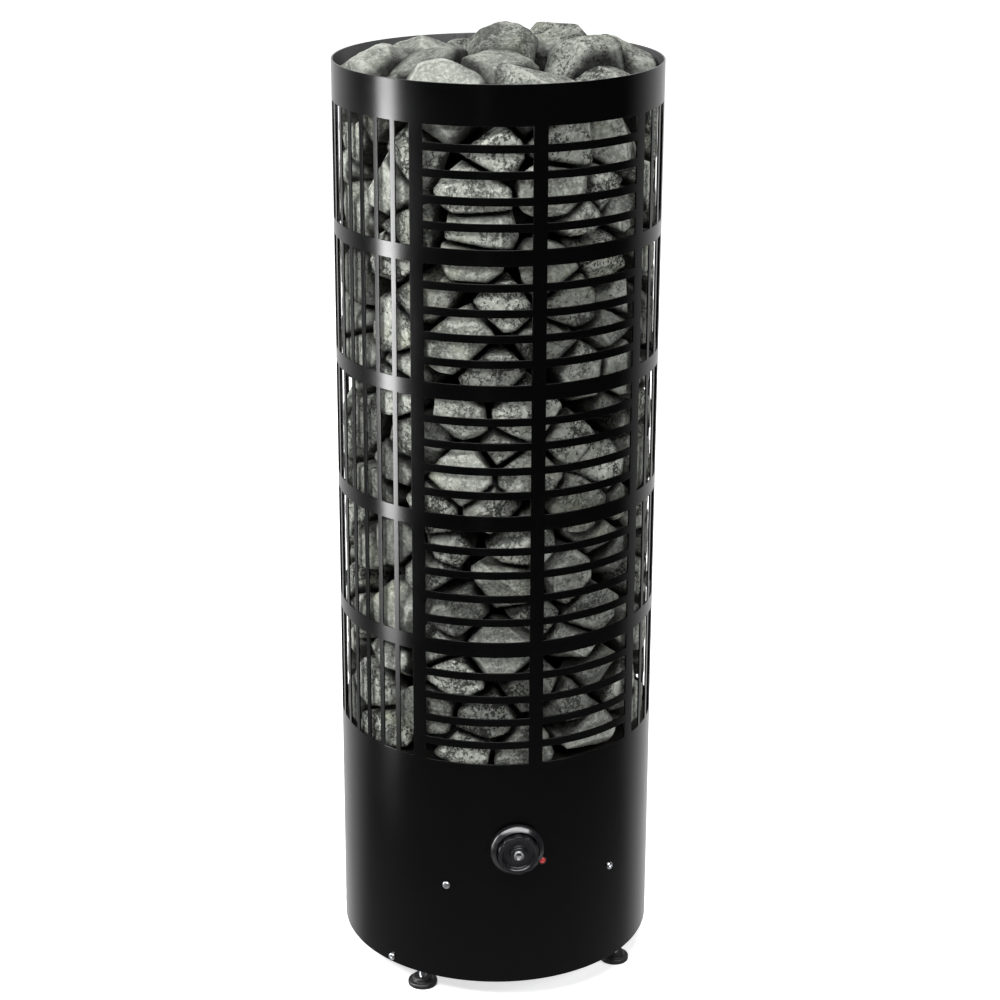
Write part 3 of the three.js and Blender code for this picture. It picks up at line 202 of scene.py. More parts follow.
class ControlSizes(bpy.types.PropertyGroup):
    """Sizes of the rotary control and the pilot lamp."""

    angle: turn("Angle", -6.6, "Place of the control round the mantle")
    height: length("Height", 150, "Control's axis above the mantle's lower edge")
    bezel_radius: length("Bezel radius", 26.6, "Outside of the bezel")
    bezel_face: length("Bezel face", 4.7, "Width of the bezel's ring")
    bezel_height: length("Bezel height", 9, "Bezel's front before the mantle")
    bezel_chamfer: length("Bezel chamfer", 4, "Fall of the bezel's slope")
    web_rise: length("Web rise", 1.8, "Web's back before the mantle")
    web: length("Web", 1.5, "Thickness of the bezel's web")
    bush_hole: length("Bush hole", 5.35, "Hole in the web")
    knob_gap: length("Knob gap", 1.2, "Round the knob inside the bezel")
    knob_lift: length("Knob lift", 1.6, "Knob's back before the web")
    knob_height: length("Knob height", 10.5, "Knob from back to front")
    flutes: count("Flutes", 10, "Flutes round the grip")
    flute_depth: length("Flute depth", 1.3, "Depth of a flute")
    rim: length("Rim", 2.6, "Width of the knob's rim")
    dish: length("Dish", 3.6, "Depth of the knob's dished face")
    hub: length("Hub", 9, "Radius of the knob's hub")
    nut_recess: length("Nut recess", 9.1, "Radius of the recess behind the knob")
    recess_depth: length("Recess depth", 3, "Depth of the recess behind the knob")
    cap_radius: length("Cap radius", 5, "Radius of the hub's cap")
    cap_height: length("Cap height", 1.8, "Height of the hub's cap")
    cap_seat: length("Cap seat", 1.2, "Depth of the cap's seat")
    lamp_offset: length("Lamp offset", 25.6, "Lamp to the right of the control's axis")
    lamp_drop: length("Lamp drop", 14.8, "Lamp below the control's axis")
    lamp_radius: length("Lamp radius", 4.4, "Flange of the lamp's body")
    lamp_height: length("Lamp height", 2.2, "Height of the lamp's flange")
    lamp_barrel: length("Lamp barrel", 3.2, "Radius of the lamp's barrel")
    lamp_depth: length("Lamp depth", 18, "Length of the lamp's barrel")
    lens_radius: length("Lens radius", 3.2, "Radius of the lens")
    lens_seat: length("Lens seat", 1.5, "Depth of the lens's seat")
    lens_dome: length("Lens dome", 1.7, "Height of the lens's dome")


class FittingSizes(bpy.types.PropertyGroup):
    """Sizes of screws, feet, gland and reset button."""

    clearance: length("Clearance", 0.3, "Between pieces that meet")
    screw_radius: length("Screw radius", 2, "Screw's shank")
    screw_length: length("Screw length", 11, "Screw below its head")
    head_radius: length("Head radius", 3.9, "Screw's head")
    head_height: length("Head height", 2.1, "Height of the screw's head")
    socket: length("Socket", 1.6, "Radius of the screw's socket")
    socket_depth: length("Socket depth", 1.3, "Depth of the screw's socket")
    side_angle: turn("Side angle", 32, "Side screws from the front")
    side_height: length("Side height", 106, "Side screws above the mantle's lower edge")
    low_screws: count("Low screws", 2, "Screws into the base plate")
    low_angle: turn("Low angle", -55.5, "First low screw")
    low_height: length("Low height", 6, "Low screws above the mantle's lower edge")
    feet: count("Feet", 4, "Levelling feet")
    foot_angle: turn("Foot angle", 45, "First foot")
    foot_inset: length("Foot inset", 15, "Mantle's outside to a foot's axis")
    pad_radius: length("Pad radius", 15, "Foot pad")
    pad_edge: length("Pad edge", 5, "Height of the pad's edge")
    collar_radius: length("Collar radius", 10, "Collar on the pad")
    collar_height: length("Collar height", 4, "Height of the collar")
    pad_floor: length("Pad floor", 3, "Pad under the stem")
    stem_radius: length("Stem radius", 4, "Foot's stem")
    stem_length: length("Stem length", 58, "Length of the stem")
    thread_pitch: length("Thread pitch", 1.25, "Pitch of the stem's thread")
    thread_depth: length("Thread depth", 0.55, "Depth of the stem's thread")
    nut_across: length("Nut across", 13, "Foot nut across its flats")
    nut_height: length("Nut height", 6.5, "Height of a foot nut")
    plate_rise: length("Plate rise", 14, "Mantle's lower edge to the base plate")
    gland_angle: turn("Gland angle", 157, "Place of the cable gland")
    gland_height: length("Gland height", 58, "Gland above the mantle's lower edge")
    gland_across: length("Gland across", 24, "Gland across its flats")
    gland_hex: length("Gland hex", 7, "Height of the gland's hexagon")
    gland_dome: length("Gland dome", 11, "Height of the gland's dome")
    gland_dome_radius: length("Gland dome radius", 10.5, "Radius of the gland's dome")
    gland_thread: length("Gland thread", 10, "Radius of the gland's thread")
    button_angle: turn("Button angle", -150, "Place of the reset button")
    button_inset: length("Button inset", 74, "Mantle's outside to the button's axis")
    button_radius: length("Button radius", 3.5, "Stem of the reset button")
    button_cap: length("Button cap", 5.5, "Cap of the reset button")
    button_cap_height: length("Button cap height", 3, "Height of the button's cap")
    button_travel: length("Button travel", 2.5, "Push of the reset button")
    button_top: length("Button top", 44.3, "Top of the button's stem")


class FinishColours(bpy.types.PropertyGroup):
    """Colours of the finishes."""

    paint: tint("Paint", (0.0009, 0.0009, 0.001), "Black heat-resistant paint")
    paint_inside: tint("Paint inside", (0.075, 0.075, 0.077), "Paint dulled by heat inside the mantle")
    stone: tint("Stone", (0.215, 0.225, 0.2), "Body of the stones")
    # Also used for the pale edges of the stones, which are partly wear and partly a painted highlight.
    stone_pale: tint("Pale stone", (0.36, 0.37, 0.335), "Pale grains in the stones")
    stone_dark: tint("Dark stone", (0.028, 0.03, 0.026), "Dark specks in the stones")
    stone_stain: tint("Stone stain", (0.185, 0.2, 0.135), "Olive stains on the stones")
    plastic: tint("Plastic", (0.008, 0.008, 0.0095), "Control's black plastic")
    foot: tint("Foot", (0.012, 0.012, 0.0125), "Foot pads")
    zinc: tint("Zinc", (0.62, 0.63, 0.65), "Zinc plating")
    steel: tint("Steel", (0.42, 0.43, 0.44), "Plain steel")
    scorched: tint("Scorched steel", (0.05, 0.047, 0.044), "Steel among the stones, darkened by heat")
    chrome: tint("Chrome", (0.8, 0.81, 0.83), "Polished cap")
    lamp: tint("Lamp", (0.5, 0.05, 0.05), "Pilot lamp's lens")
    button: tint("Button", (0.5, 0.05, 0.03), "Reset button")
    ceramic: tint("Ceramic", (0.7, 0.66, 0.56), "Terminal block")
    sleeve: tint("Sleeve", (0.06, 0.05, 0.045), "Wiring sleeve")


class StudioSettings(bpy.types.PropertyGroup):
    """Camera, floor and lights."""

    camera_angle: turn("Camera angle", -14.2, "Camera round the heater from its front")
    camera_distance: length("Camera distance", 2264.2, "Camera to the heater's axis")
    camera_height: length("Camera height", 1285.6, "Camera above the floor")
    camera_pitch: turn("Camera pitch", 18.065, "Camera's tilt downwards")
    camera_roll: turn("Camera roll", 0.195, "Camera's roll")
    lens: bpy.props.FloatProperty(
        name="Lens", description="Focal length in millimetres", default=85.054, unit="CAMERA"
    )
    shift: bpy.props.FloatVectorProperty(
        name="Shift", description="Shares of the frame that the lens is shifted", default=(0.0031, -0.06), size=2
    )
    floor: tint("Floor", (0.8, 0.8, 0.8), "Pale floor")
    floor_size: length("Floor size", 40000, "Side of the floor")
    lift_reach: span("Lift reach", 150, 1600, "Distances between which the floor grows white")
    lift: bpy.props.FloatVectorProperty(
        name="Lift", description="White added to the floor near the heater and far from it", default=(0.6, 0.95), size=2
    )


# Surfaces: grids of points worked out as whole arrays
def grid_quads(rows, columns, closed_rows=False, closed_columns=True):
    """Quads between neighbours on a grid numbered row by row, running on round where it is closed."""
    row, column = np.meshgrid(
        np.arange(rows if closed_rows else rows - 1),
        np.arange(columns if closed_columns else columns - 1),
        indexing="ij",
    )
    above, beside = (row + 1) % rows, (column + 1) % columns
    corners = [
        row * columns + column,
        row * columns + beside,
        above * columns + beside,
        above * columns + column,
    ]
    return np.stack(corners, axis=-1).reshape(-1, 4)


def carried_round(radius, height, steps, closed=False):
    """Points (r cos t, r sin t, z), where r and z may change with the place along the profile and with t."""
    around = np.linspace(0, TAU, steps, endpoint=False)
    rows = len(radius)
    radius = np.broadcast_to(np.reshape(radius, (rows, -1)), (rows, steps))
    height = np.broadcast_to(np.reshape(height, (rows, -1)), (rows, steps))
    points = np.stack([radius * np.cos(around), radius * np.sin(around), height], axis=-1)
    return points.reshape(-1, 3), grid_quads(rows, steps, closed_rows=closed)


def eased(corners, radius, steps=5):
    """An outline whose inner corners become the curves (1-t)^2 a + 2t(1-t) b + t^2 c, from a radius before each."""
    corners = np.asarray(corners, float)
    before, at, after = corners[:-2], corners[1:-1], corners[2:]
    radius = np.broadcast_to(np.reshape(radius, (-1, 1)), (len(at), 1))

    def towards(other):
        run = other - at
        reach = np.linalg.norm(run, axis=1, keepdims=True)
        return at + run * np.minimum(radius / reach, 0.45)

    t = np.linspace(0, 1, steps)[:, None]
    start, bend, end = (side[:, None] for side in (towards(before), at, towards(after)))
    curves = (1 - t) ** 2 * start + 2 * t * (1 - t) * bend + t**2 * end
    return np.concatenate([corners[:1], curves.reshape(-1, 2), corners[-1:]])


def turned(corners, radius, steps=64):
    """An eased profile of radius and height pairs carried round the local Z axis, closed at its poles."""
    profile = eased(corners, radius)
    return carried_round(profile[:, 0], profile[:, 1], steps)


def hexagon(across, around):
    """Distance from the middle to the edge of a hexagon: half of across over cos of the turn from a flat."""
    sector = TAU / 6
    return across / 2 / np.cos((around + sector / 2) % sector - sector / 2)


def nut(across, low, high, bore, steps=96):
    """A hexagon whose corners are cut by a cone at both ends: r is the smaller of the hexagon and the cone."""
    around = np.linspace(0, TAU, steps, endpoint=False)
    flat, corner = across / 2, across / math.sqrt(3)
    fall = (corner - flat) * 0.6
    cone = np.array([bore, flat * 0.97, corner, corner, flat * 0.97, bore])[:, None]
    height = np.array([low, low, low + fall, high - fall, high, high])
    radius = np.minimum(cone, hexagon(across, around)[None, :])
    return carried_round(radius, height, steps, closed=True)


def thread(radius, low, high, pitch, depth, steps=28, rows_per_turn=6):
    """A screw thread: r falls by the depth as a triangle wave of height over pitch less the turn."""
    rows = int((high - low) / pitch * rows_per_turn)
    height = np.linspace(low, high, rows)[:, None]
    around = np.linspace(0, 1, steps, endpoint=False)[None, :]
    wave = np.abs(((height / pitch - around) % 1) * 2 - 1)
    radii = radius - depth * np.clip(wave * 1.4 - 0.2, 0, 1)
    ends = np.zeros((1, steps))
    radii = np.concatenate([ends, radii, ends])
    height = np.concatenate([[[low]], height, [[high]]])
    return carried_round(radii, height, steps)


def slab(width, depth, low, high, edge):
    """A bar with eased edges: a rounded rectangle carried upwards, drawn in by the edge at both ends."""
    x, y = width / 2, depth / 2
    loop = [(0, -y), (x, -y), (x, y), (-x, y), (-x, -y), (0, -y)]
    outline = eased(loop, edge)[:-1]
    shrink = 1 - edge / np.array([x, y])
    scale = np.array([[0, 0], shrink, [1, 1], [1, 1], shrink, [0, 0]])
    height = np.array([low, low, low + edge, high - edge, high, high])
    flat = outline[None, :, :] * scale[:, None, :]
    level = np.broadcast_to(height[:, None, None], (*flat.shape[:2], 1))
    points = np.concatenate([flat, level], axis=-1).reshape(-1, 3)
    return points, grid_quads(len(height), len(outline))


# Places
def polar(angle, radius, level=0.0):
    """A point from its angle round the axis, its distance from the axis and its level."""
    angle = np.asarray(angle, float)
    level = np.broadcast_to(level, angle.shape)
    return np.stack([radius * np.sin(angle), -radius * np.cos(angle), level], axis=-1)


def on_wall(part, angle, level):
    """Local x, y and z become right, up and outwards from the heater's axis."""
    points, quads = part
    right = (math.cos(angle), math.sin(angle), 0)
    outwards = (math.sin(angle), -math.cos(angle), 0)
    return points @ np.array([right, (0, 0, 1), outwards]) + np.array([0, 0, level]), quads


def on_floor(part, angle, radius):
    """Local x, y and z become right, away from the heater's axis and up, moved out along the angle."""
    points, quads = part
    right = (math.cos(angle), math.sin(angle), 0)
    outwards = (math.sin(angle), -math.cos(angle), 0)
    return points @ np.array([right, outwards, (0, 0, 1)]) + polar(angle, radius), quads


# Pieces
def joined(parts):
    """Points and quads of several parts as one mesh."""
    starts = np.cumsum([0] + [len(points) for points, _ in parts[:-1]])
    points = np.concatenate([points for points, _ in parts])
    quads = np.concatenate([quads + start for (_, quads), start in zip(parts, starts)])
    return points, quads


def make_mesh(name, points, quads, values=None):
    """A mesh filled from whole arrays, with its seams and poles merged and its faces outwards.
    The values are named numbers for each point."""
    mesh = bpy.data.meshes.new(name)
    mesh.vertices.add(len(points))
    mesh.vertices.foreach_set("co", np.ascontiguousarray(points, np.float32).ravel())
    mesh.loops.add(quads.size)
    mesh.loops.foreach_set("vertex_index", np.ascontiguousarray(quads, np.int32).ravel())
    mesh.polygons.add(len(quads))
    mesh.polygons.foreach_set("loop_start", np.arange(0, quads.size, 4, dtype=np.int32))
    mesh.update(calc_edges=True)
    for key, value in (values or {}).items():
        attribute = mesh.attributes.new(key, "FLOAT", "POINT")
        attribute.data.foreach_set("value", np.ascontiguousarray(value, np.float32))
    work = bmesh.new()
    work.from_mesh(mesh)
    bmesh.ops.remove_doubles(work, verts=work.verts, dist=MERGE_DISTANCE)
    bmesh.ops.recalc_face_normals(work, faces=work.faces)
    work.to_mesh(mesh)
    work.free()
    return mesh


def make_piece(name, parts, finish, nodes, body=MAIN_BODY, crease=40, values=None):
    """An object at the origin from parts of points and quads, which stands for CAD nodes and rides on a body."""
    mesh = make_mesh(name, *joined(parts), values)
    mesh.shade_smooth()
    mesh.set_sharp_from_angle(angle=math.radians(crease))
    mesh.materials.append(finish)
    piece = bpy.data.objects.new(name, mesh)
    bpy.context.scene.collection.objects.link(piece)
    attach(piece, body)
    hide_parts(*nodes)
    return piece


# Finishes
def add_node(tree, kind, inputs=None, **settings):
    """A node with its settings, whose inputs are set to values or linked to sockets."""
    node = tree.nodes.new(kind)
    for key, value in settings.items():
        setattr(node, key, value)
    for key, value in (inputs or {}).items():
        if isinstance(value, bpy.types.NodeSocket):
            tree.links.new(value, node.inputs[key])
        else:
            node.inputs[key].default_value = value
    return node


def noise(tree, vector, scale, detail=4.0, roughness=0.55):
    """Value of a noise on a vector, from 0 to 1."""
    inputs = {"Vector": vector, "Scale": scale, "Detail": detail, "Roughness": roughness}
    return add_node(tree, "ShaderNodeTexNoise", inputs).outputs["Fac"]


def stepped(tree, value, low, high, out_low=0.0, out_high=1.0):
    """A value mapped smoothly from one range to another and held at its ends."""
    inputs = {"Value": value, "From Min": low, "From Max": high, "To Min": out_low, "To Max": out_high}
    node = add_node(tree, "ShaderNodeMapRange", inputs, interpolation_type="SMOOTHSTEP")
    return node.outputs["Result"]


def mixed(tree, share, first, second, blend="MIX"):
    """Two colours mixed by a share."""
    node = add_node(tree, "ShaderNodeMix", data_type="RGBA", blend_type=blend)
    for index, value in ((0, share), (6, first), (7, second)):
        if isinstance(value, bpy.types.NodeSocket):
            tree.links.new(value, node.inputs[index])
        else:
            node.inputs[index].default_value = value
    return node.outputs[2]


def calculated(tree, operation, *values):
    """The result of a sum on values or sockets."""
    return add_node(tree, "ShaderNodeMath", dict(enumerate(values)), operation=operation).outputs[0]


def bumped(tree, height, strength, distance, under=None):
    """A normal from a height, laid over another normal where one is given."""
    inputs = {"Height": height, "Strength": strength, "Distance": distance}
    if under is not None:
        inputs["Normal"] = under
    return add_node(tree, "ShaderNodeBump", inputs).outputs["Normal"]


def opaque(colour):
    """A colour with full alpha."""
    return (*colour, 1.0)


def new_finish(name, **values):
    """A material, its node tree, its shader with constant values set, and Object coordinates."""
    material = bpy.data.materials.new(name)
    material.use_nodes = True
    tree = material.node_tree
    shader = tree.nodes["Principled BSDF"]
    for key, value in values.items():
        shader.inputs[key.replace("_", " ")].default_value = value
    place = add_node(tree, "ShaderNodeTexCoord").outputs["Object"]
    return material, tree, shader, place


def paint_finish(colours):
    """Black baked paint: a faint orange peel, and gloss that changes a little from patch to patch."""
    material, tree, shader, place = new_finish("black_paint", Specular_IOR_Level=0.2)
    patch = noise(tree, place, 9.0, 3.0)
    tree.links.new(stepped(tree, patch, 0.3, 0.7, 0.2, 0.25), shader.inputs["Roughness"])
    shade = mixed(tree, patch, opaque(colours.paint), opaque(0.6 * c for c in colours.paint))
    inside = add_node(tree, "ShaderNodeAttribute", attribute_name="inside").outputs["Fac"]
    shade = mixed(tree, inside, shade, opaque(colours.paint_inside))
    tree.links.new(shade, shader.inputs["Base Color"])
    peel = bumped(tree, noise(tree, place, 1100.0, 2.0), 0.05, 0.0002)
    tree.links.new(peel, shader.inputs["Normal"])
    return material


def stone_finish(colours):
    """Grey-green rock: broad patches, clusters of dark pits, thin dark veins, pale grains, and pale edges that are
    partly wear and partly a painted highlight.
    """
    material, tree, shader, place = new_finish("stone", Specular_IOR_Level=0.15)
    tone = add_node(tree, "ShaderNodeAttribute", attribute_name="tone").outputs["Fac"]
    edge = add_node(tree, "ShaderNodeAttribute", attribute_name="edge").outputs["Fac"]
    pits = add_node(tree, "ShaderNodeAttribute", attribute_name="pits").outputs["Fac"]
    patch = noise(tree, place, 20.0, 5.0, 0.6)
    cluster = noise(tree, place, 38.0, 4.0, 0.6)
    crack = noise(tree, place, 30.0, 7.0, 0.62)
    stain = noise(tree, place, 13.0, 3.0)
    grain = noise(tree, place, 230.0, 8.0, 0.72)
    speck = noise(tree, place, 360.0, 5.0, 0.65)
    pitted = calculated(tree, "MULTIPLY_ADD", cluster, 0.9, speck)
    off_middle = calculated(tree, "ABSOLUTE", calculated(tree, "SUBTRACT", crack, 0.5))
    vein = calculated(tree, "MULTIPLY", stepped(tree, off_middle, 0.003, 0.02, 0.8, 0.0), pits)
    pit = calculated(tree, "MULTIPLY", stepped(tree, pitted, 0.98, 1.08, 0.0, 0.95), pits)
    deep = opaque(0.62 * c for c in colours.stone)
    body = mixed(tree, stepped(tree, patch, 0.34, 0.62), deep, opaque(colours.stone))
    body = mixed(tree, stepped(tree, stain, 0.55, 0.7, 0.0, 0.6), body, opaque(colours.stone_stain))
    body = mixed(tree, stepped(tree, grain, 0.44, 0.66, 0.0, 0.9), body, opaque(colours.stone_pale))
    body = mixed(tree, vein, body, opaque(colours.stone_dark))
    # Pale edges: partly wear, partly a painted highlight along the stones' outlines.
    body = mixed(tree, stepped(tree, edge, 0.95, 1.0, 0.0, 0.8), body, opaque(colours.stone_pale))
    body = mixed(tree, pit, body, opaque(colours.stone_dark))
    # The tone attribute carries each stone's own tone times painted shade in its crevices and behind the wall.
    shade = mixed(tree, 1.0, body, tone, "MULTIPLY")
    tree.links.new(shade, shader.inputs["Base Color"])
    tree.links.new(stepped(tree, grain, 0.3, 0.7, 0.95, 0.75), shader.inputs["Roughness"])
    broad = bumped(tree, cluster, 0.7, 0.009)
    fine = bumped(tree, grain, 0.6, 0.0018, broad)
    tree.links.new(bumped(tree, calculated(tree, "SUBTRACT", 1.0, pit), 0.7, 0.0016, fine), shader.inputs["Normal"])
    return material


def plastic_finish(name, colour, gloss, grain):
    """Moulded plastic: fine grain in the surface and a little unevenness in the gloss."""
    material, tree, shader, place = new_finish(name, Specular_IOR_Level=0.45)
    patch = noise(tree, place, 60.0, 3.0)
    tree.links.new(stepped(tree, patch, 0.3, 0.7, gloss, gloss + 0.08), shader.inputs["Roughness"])
    shade = mixed(tree, patch, opaque(colour), opaque(0.75 * c for c in colour))
    tree.links.new(shade, shader.inputs["Base Color"])
    tree.links.new(bumped(tree, noise(tree, place, 1600.0, 2.0), grain, 0.0002), shader.inputs["Normal"])
    return material


def metal_finish(name, colour, gloss, brushed=1.0):
    """Metal with a fine spangle in its gloss and faint marks drawn out along one direction."""
    material, tree, shader, place = new_finish(name, Metallic=1.0)
    stretched = add_node(tree, "ShaderNodeMapping", {"Vector": place, "Scale": (1.0, 1.0, brushed)}).outputs["Vector"]
    spangle = noise(tree, stretched, 260.0, 4.0)
    tree.links.new(stepped(tree, spangle, 0.3, 0.7, gloss, gloss + 0.14), shader.inputs["Roughness"])
    shade = mixed(tree, spangle, opaque(colour), opaque(0.72 * c for c in colour))
    tree.links.new(shade, shader.inputs["Base Color"])
    tree.links.new(bumped(tree, spangle, 0.08, 0.0002), shader.inputs["Normal"])
    return material


def lens_finish(colours):
    """Red lens: glossy, with a deeper red towards its ribs."""
    material, tree, shader, place = new_finish("lamp_red", Roughness=0.18, Specular_IOR_Level=0.5)
    rib = noise(tree, place, 900.0, 2.0)
    shade = mixed(tree, rib, opaque(colours.lamp), opaque(0.7 * c for c in colours.lamp))
    tree.links.new(shade, shader.inputs["Base Color"])
    tree.links.new(bumped(tree, rib, 0.1, 0.0002), shader.inputs["Normal"])
    return material


def finishes():
    """Every finish by its slot, made once."""
    if not FINISHES:
        colours = bpy.context.scene.heater_colours
        FINISHES.update(
            black_paint=paint_finish(colours),
            stone=stone_finish(colours),
            black_plastic=plastic_finish("black_plastic", colours.plastic, 0.2, 0.03),
            foot_plastic=plastic_finish("foot_plastic", colours.foot, 0.42, 0.12),
            button_red=plastic_finish("button_red", colours.button, 0.35, 0.06),
            wire_cover=plastic_finish("wire_cover", colours.sleeve, 0.6, 0.15),
            terminal_ceramic=plastic_finish("terminal_ceramic", colours.ceramic, 0.6, 0.2),
            zinc=metal_finish("zinc", colours.zinc, 0.22),
            bare_steel=metal_finish("bare_steel", colours.steel, 0.34, 0.06),
            scorched_steel=metal_finish("scorched_steel", colours.scorched, 0.5, 0.06),
            chrome=metal_finish("chrome", colours.chrome, 0.06),
            lamp_red=lens_finish(colours),
        )
    return FINISHES


FINISHES = {}


class PieceOperator:
    """What every operator of the heater shares."""

    bl_options = {"REGISTER", "UNDO"}


class BuildMantle(PieceOperator, bpy.types.Operator):
    """Rolls the sheet with its slots, hoops and bars"""

    bl_idname = "heater.mantle"
    bl_label = "Mantle"

    def execute(self, context):
        sizes = context.scene.heater_mantle
        make_mantle(sizes)
        make_seam(sizes, context.scene.heater_fittings)
        return {"FINISHED"}


PLAIN, CROSSED, UPRIGHT = range(3)
SOLID, SLOT, BAR = range(3)
OUTER, INNER, HEAP = range(3)
SCORCHED = ("deck_plate", "heating_element", "element_flange")


def mantle_columns(sizes):
    """Widths and kinds of the cells round the mantle, from the left post of the front panels onwards."""
    post, slot, bar = (w / sizes.radius for w in (sizes.post_width, sizes.slot_width, sizes.upright_bar))
    front = sizes.panels * slot + (sizes.panels + 1) * post
    gap = (math.pi - front - (sizes.uprights - 1) * bar) / sizes.uprights
    half = [(post, PLAIN, 3)]
    half += [(slot, CROSSED, 24), (post, PLAIN, 3)] * sizes.panels
    half += [(gap, UPRIGHT, 3)]
    half += [(bar, PLAIN, 2), (gap, UPRIGHT, 3)] * (sizes.uprights - 1)
    widths = np.concatenate([np.full(cells, width / cells) for width, _, cells in half * 2])
    kinds = np.concatenate([np.full(cells, kind) for _, kind, cells in half * 2])
    return np.concatenate([[0], np.cumsum(widths)[:-1]]) - front / 2, kinds


def mantle_levels(sizes):
    """Levels of the mantle's edges from the bottom and the kind of each stretch between them."""
    row = [(sizes.slot_height, SLOT)] + [(sizes.bar_height, BAR), (sizes.slot_height, SLOT)] * (sizes.slots - 1)
    stretches = [(sizes.casing_height, SOLID)] + row
    stretches += ([(sizes.hoop_height, SOLID)] + row) * (sizes.rows - 1)
    stretches += [(sizes.band_height, SOLID)]
    heights = np.array([height for height, _ in stretches])
    return sizes.floor_gap + np.concatenate([[0], np.cumsum(heights)]), np.array([kind for _, kind in stretches])


def make_mantle(sizes):
    """Cells of a grid of angle and level, kept where the sheet isn't cut, as two skins joined at every cut edge."""
    angles, kinds = mantle_columns(sizes)
    levels, stretches = mantle_levels(sizes)
    crossed = (stretches[:, None] == BAR) & (kinds[None, :] == CROSSED)
    filled = (stretches[:, None] == SOLID) | (kinds[None, :] == PLAIN) | crossed
    rows, columns = len(levels), len(angles)
    skins = [polar(np.broadcast_to(angles, (rows, columns)), radius, levels[:, None])
             for radius in (sizes.radius, sizes.radius - sizes.sheet)]
    number = np.arange(2 * rows * columns).reshape(2, rows, columns)
    beside = np.roll(number, -1, axis=2)
    quads = []
    for side in range(2):
        corners = [number[side, :-1], beside[side, :-1], beside[side, 1:], number[side, 1:]]
        quads.append(np.stack(corners, axis=-1)[filled])
    framed = np.pad(filled, ((1, 1), (0, 0)))
    ledges = framed[1:] != framed[:-1]
    quads.append(np.stack([number[0], beside[0], beside[1], number[1]], axis=-1)[ledges])
    walls = filled != np.roll(filled, 1, axis=1)
    corners = [number[0, :-1], number[0, 1:], number[1, 1:], number[1, :-1]]
    quads.append(np.stack(corners, axis=-1)[walls])
    quads = np.concatenate(quads)
    used, quads = np.unique(quads, return_inverse=True)
    points = np.concatenate(skins).reshape(-1, 3)[used]
    part = points, quads.reshape(-1, 4)
    row = used % (rows * columns) // columns
    values = {"inside": ((used >= rows * columns) & (row >= rows - 2)).astype(float)}
    finish = finishes()["black_paint"]
    piece = make_piece("slotted_mantle", [part], finish, ["mantle"], crease=180, values=values)
    bevel = piece.modifiers.new("edges", "BEVEL")
    bevel.width = sizes.edge
    bevel.segments = 2
    bevel.limit_method = "ANGLE"
    bevel.angle_limit = math.radians(60)
    bevel.harden_normals = True


def make_seam(sizes, fittings):
    """The strip behind the back post and its rivets, with heads outside and tails inside."""
    low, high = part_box("seam_strip")
    half_post = sizes.post_width / sizes.radius / 2
    face = (sizes.radius - sizes.sheet) * math.cos(half_post) - fittings.clearance
    strip = on_floor(slab(sizes.seam_width, sizes.seam_sheet, low.z, high.z, 0.0003), math.pi, face - sizes.seam_sheet / 2)
    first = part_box("base_plate")[1].z + 2 * (low.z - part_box("base_plate")[1].z)
    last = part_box("mantle")[1].z - sizes.band_height / 2
    head = sizes.radius + fittings.clearance
    rise, edge = sizes.rivet_height, sizes.rivet_radius
    outside = turned([(0, head - 2 * rise), (edge / 2, head - 2 * rise), (edge / 2, head), (edge, head),
                      (0.85 * edge, head + 0.7 * rise), (0, head + rise)], rise / 3, 32)
    tail = face - sizes.seam_sheet
    inside = turned([(0, tail + rise), (0.8 * edge, tail + rise), (0.8 * edge, tail), (0.5 * edge, tail - rise), (0, tail - rise)],
                    rise / 3, 32)
    rivets = [on_wall(part, math.pi, level) for part in (outside, inside)
              for level in np.linspace(first, last, sizes.rivets)]
    parts = [strip, *rivets]
    points = joined(parts)[0]
    values = {"inside": (np.hypot(points[:, 0], points[:, 1]) < sizes.radius - sizes.sheet / 2).astype(float)}
    make_piece("seam_strip_riveted", parts, finishes()["black_paint"], ["seam_strip"], values=values)


class BuildStones(PieceOperator, bpy.types.Operator):
    """Lays the courses of stones and the heap"""

    bl_idname = "heater.stones"
    bl_label = "Stones"

    def execute(self, context):
        sizes = context.scene.heater_stones
        seeds = stone_seeds(sizes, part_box("mantle")[1].z, context.scene.heater_mantle.radius)
        for group in np.unique(seeds["group"]):
            make_stones(sizes, seeds, group, np.flatnonzero(seeds["group"] == group))
        return {"FINISHED"}


def chance(stone, purpose):
    """A repeatable number from 0 to 1 for each stone and purpose: the fraction of a large sine."""
    value = np.sin(stone * 12.9898 + purpose * 78.233) * 43758.5453
    return value - np.floor(value)


def stray(stone, purpose):
    """A repeatable number from -1 to 1."""
    return 2 * chance(stone, purpose) - 1


def stone_rings(sizes, rim, radius):
    """Rings of stones: name, kind, first number, how many, distance from the axis, level, first turn and drift.
    The heap follows the same rule and numbers as the solid heap, and the layers below it fill the solid courses."""
    room = rim - sizes.heap_depth - sizes.floor
    course, layer = room / sizes.courses, room / sizes.layers
    inside = sizes.wall - sizes.ring_depth
    rings = []
    first = sizes.heap_first
    for number, distance, rise, start in (
        (sizes.heap_lower, radius - sizes.heap_lower_inset, sizes.heap_lower_rise, sizes.heap_lower_turn),
        (sizes.heap_upper, radius - sizes.heap_upper_inset, sizes.heap_upper_rise, sizes.heap_upper_turn),
        (sizes.heap_top, sizes.heap_top_offset, sizes.heap_top_rise, sizes.heap_top_turn),
    ):
        rings.append(("stone_heap", HEAP, first, number, distance, rim + rise, start, course))
        first += number
    for index in range(sizes.layers):
        height = (index + 0.5) * layer
        group = f"stone_course_{int(height / course) + 1:02d}"
        for kind, number, low, high in (
            (OUTER, sizes.outer, inside, sizes.wall),
            (INNER, sizes.inner, sizes.core, inside),
        ):
            rings.append((group, kind, first, number, (low + high) / 2, sizes.floor + height, index % 2 / 2, layer))
            first += number
    return rings


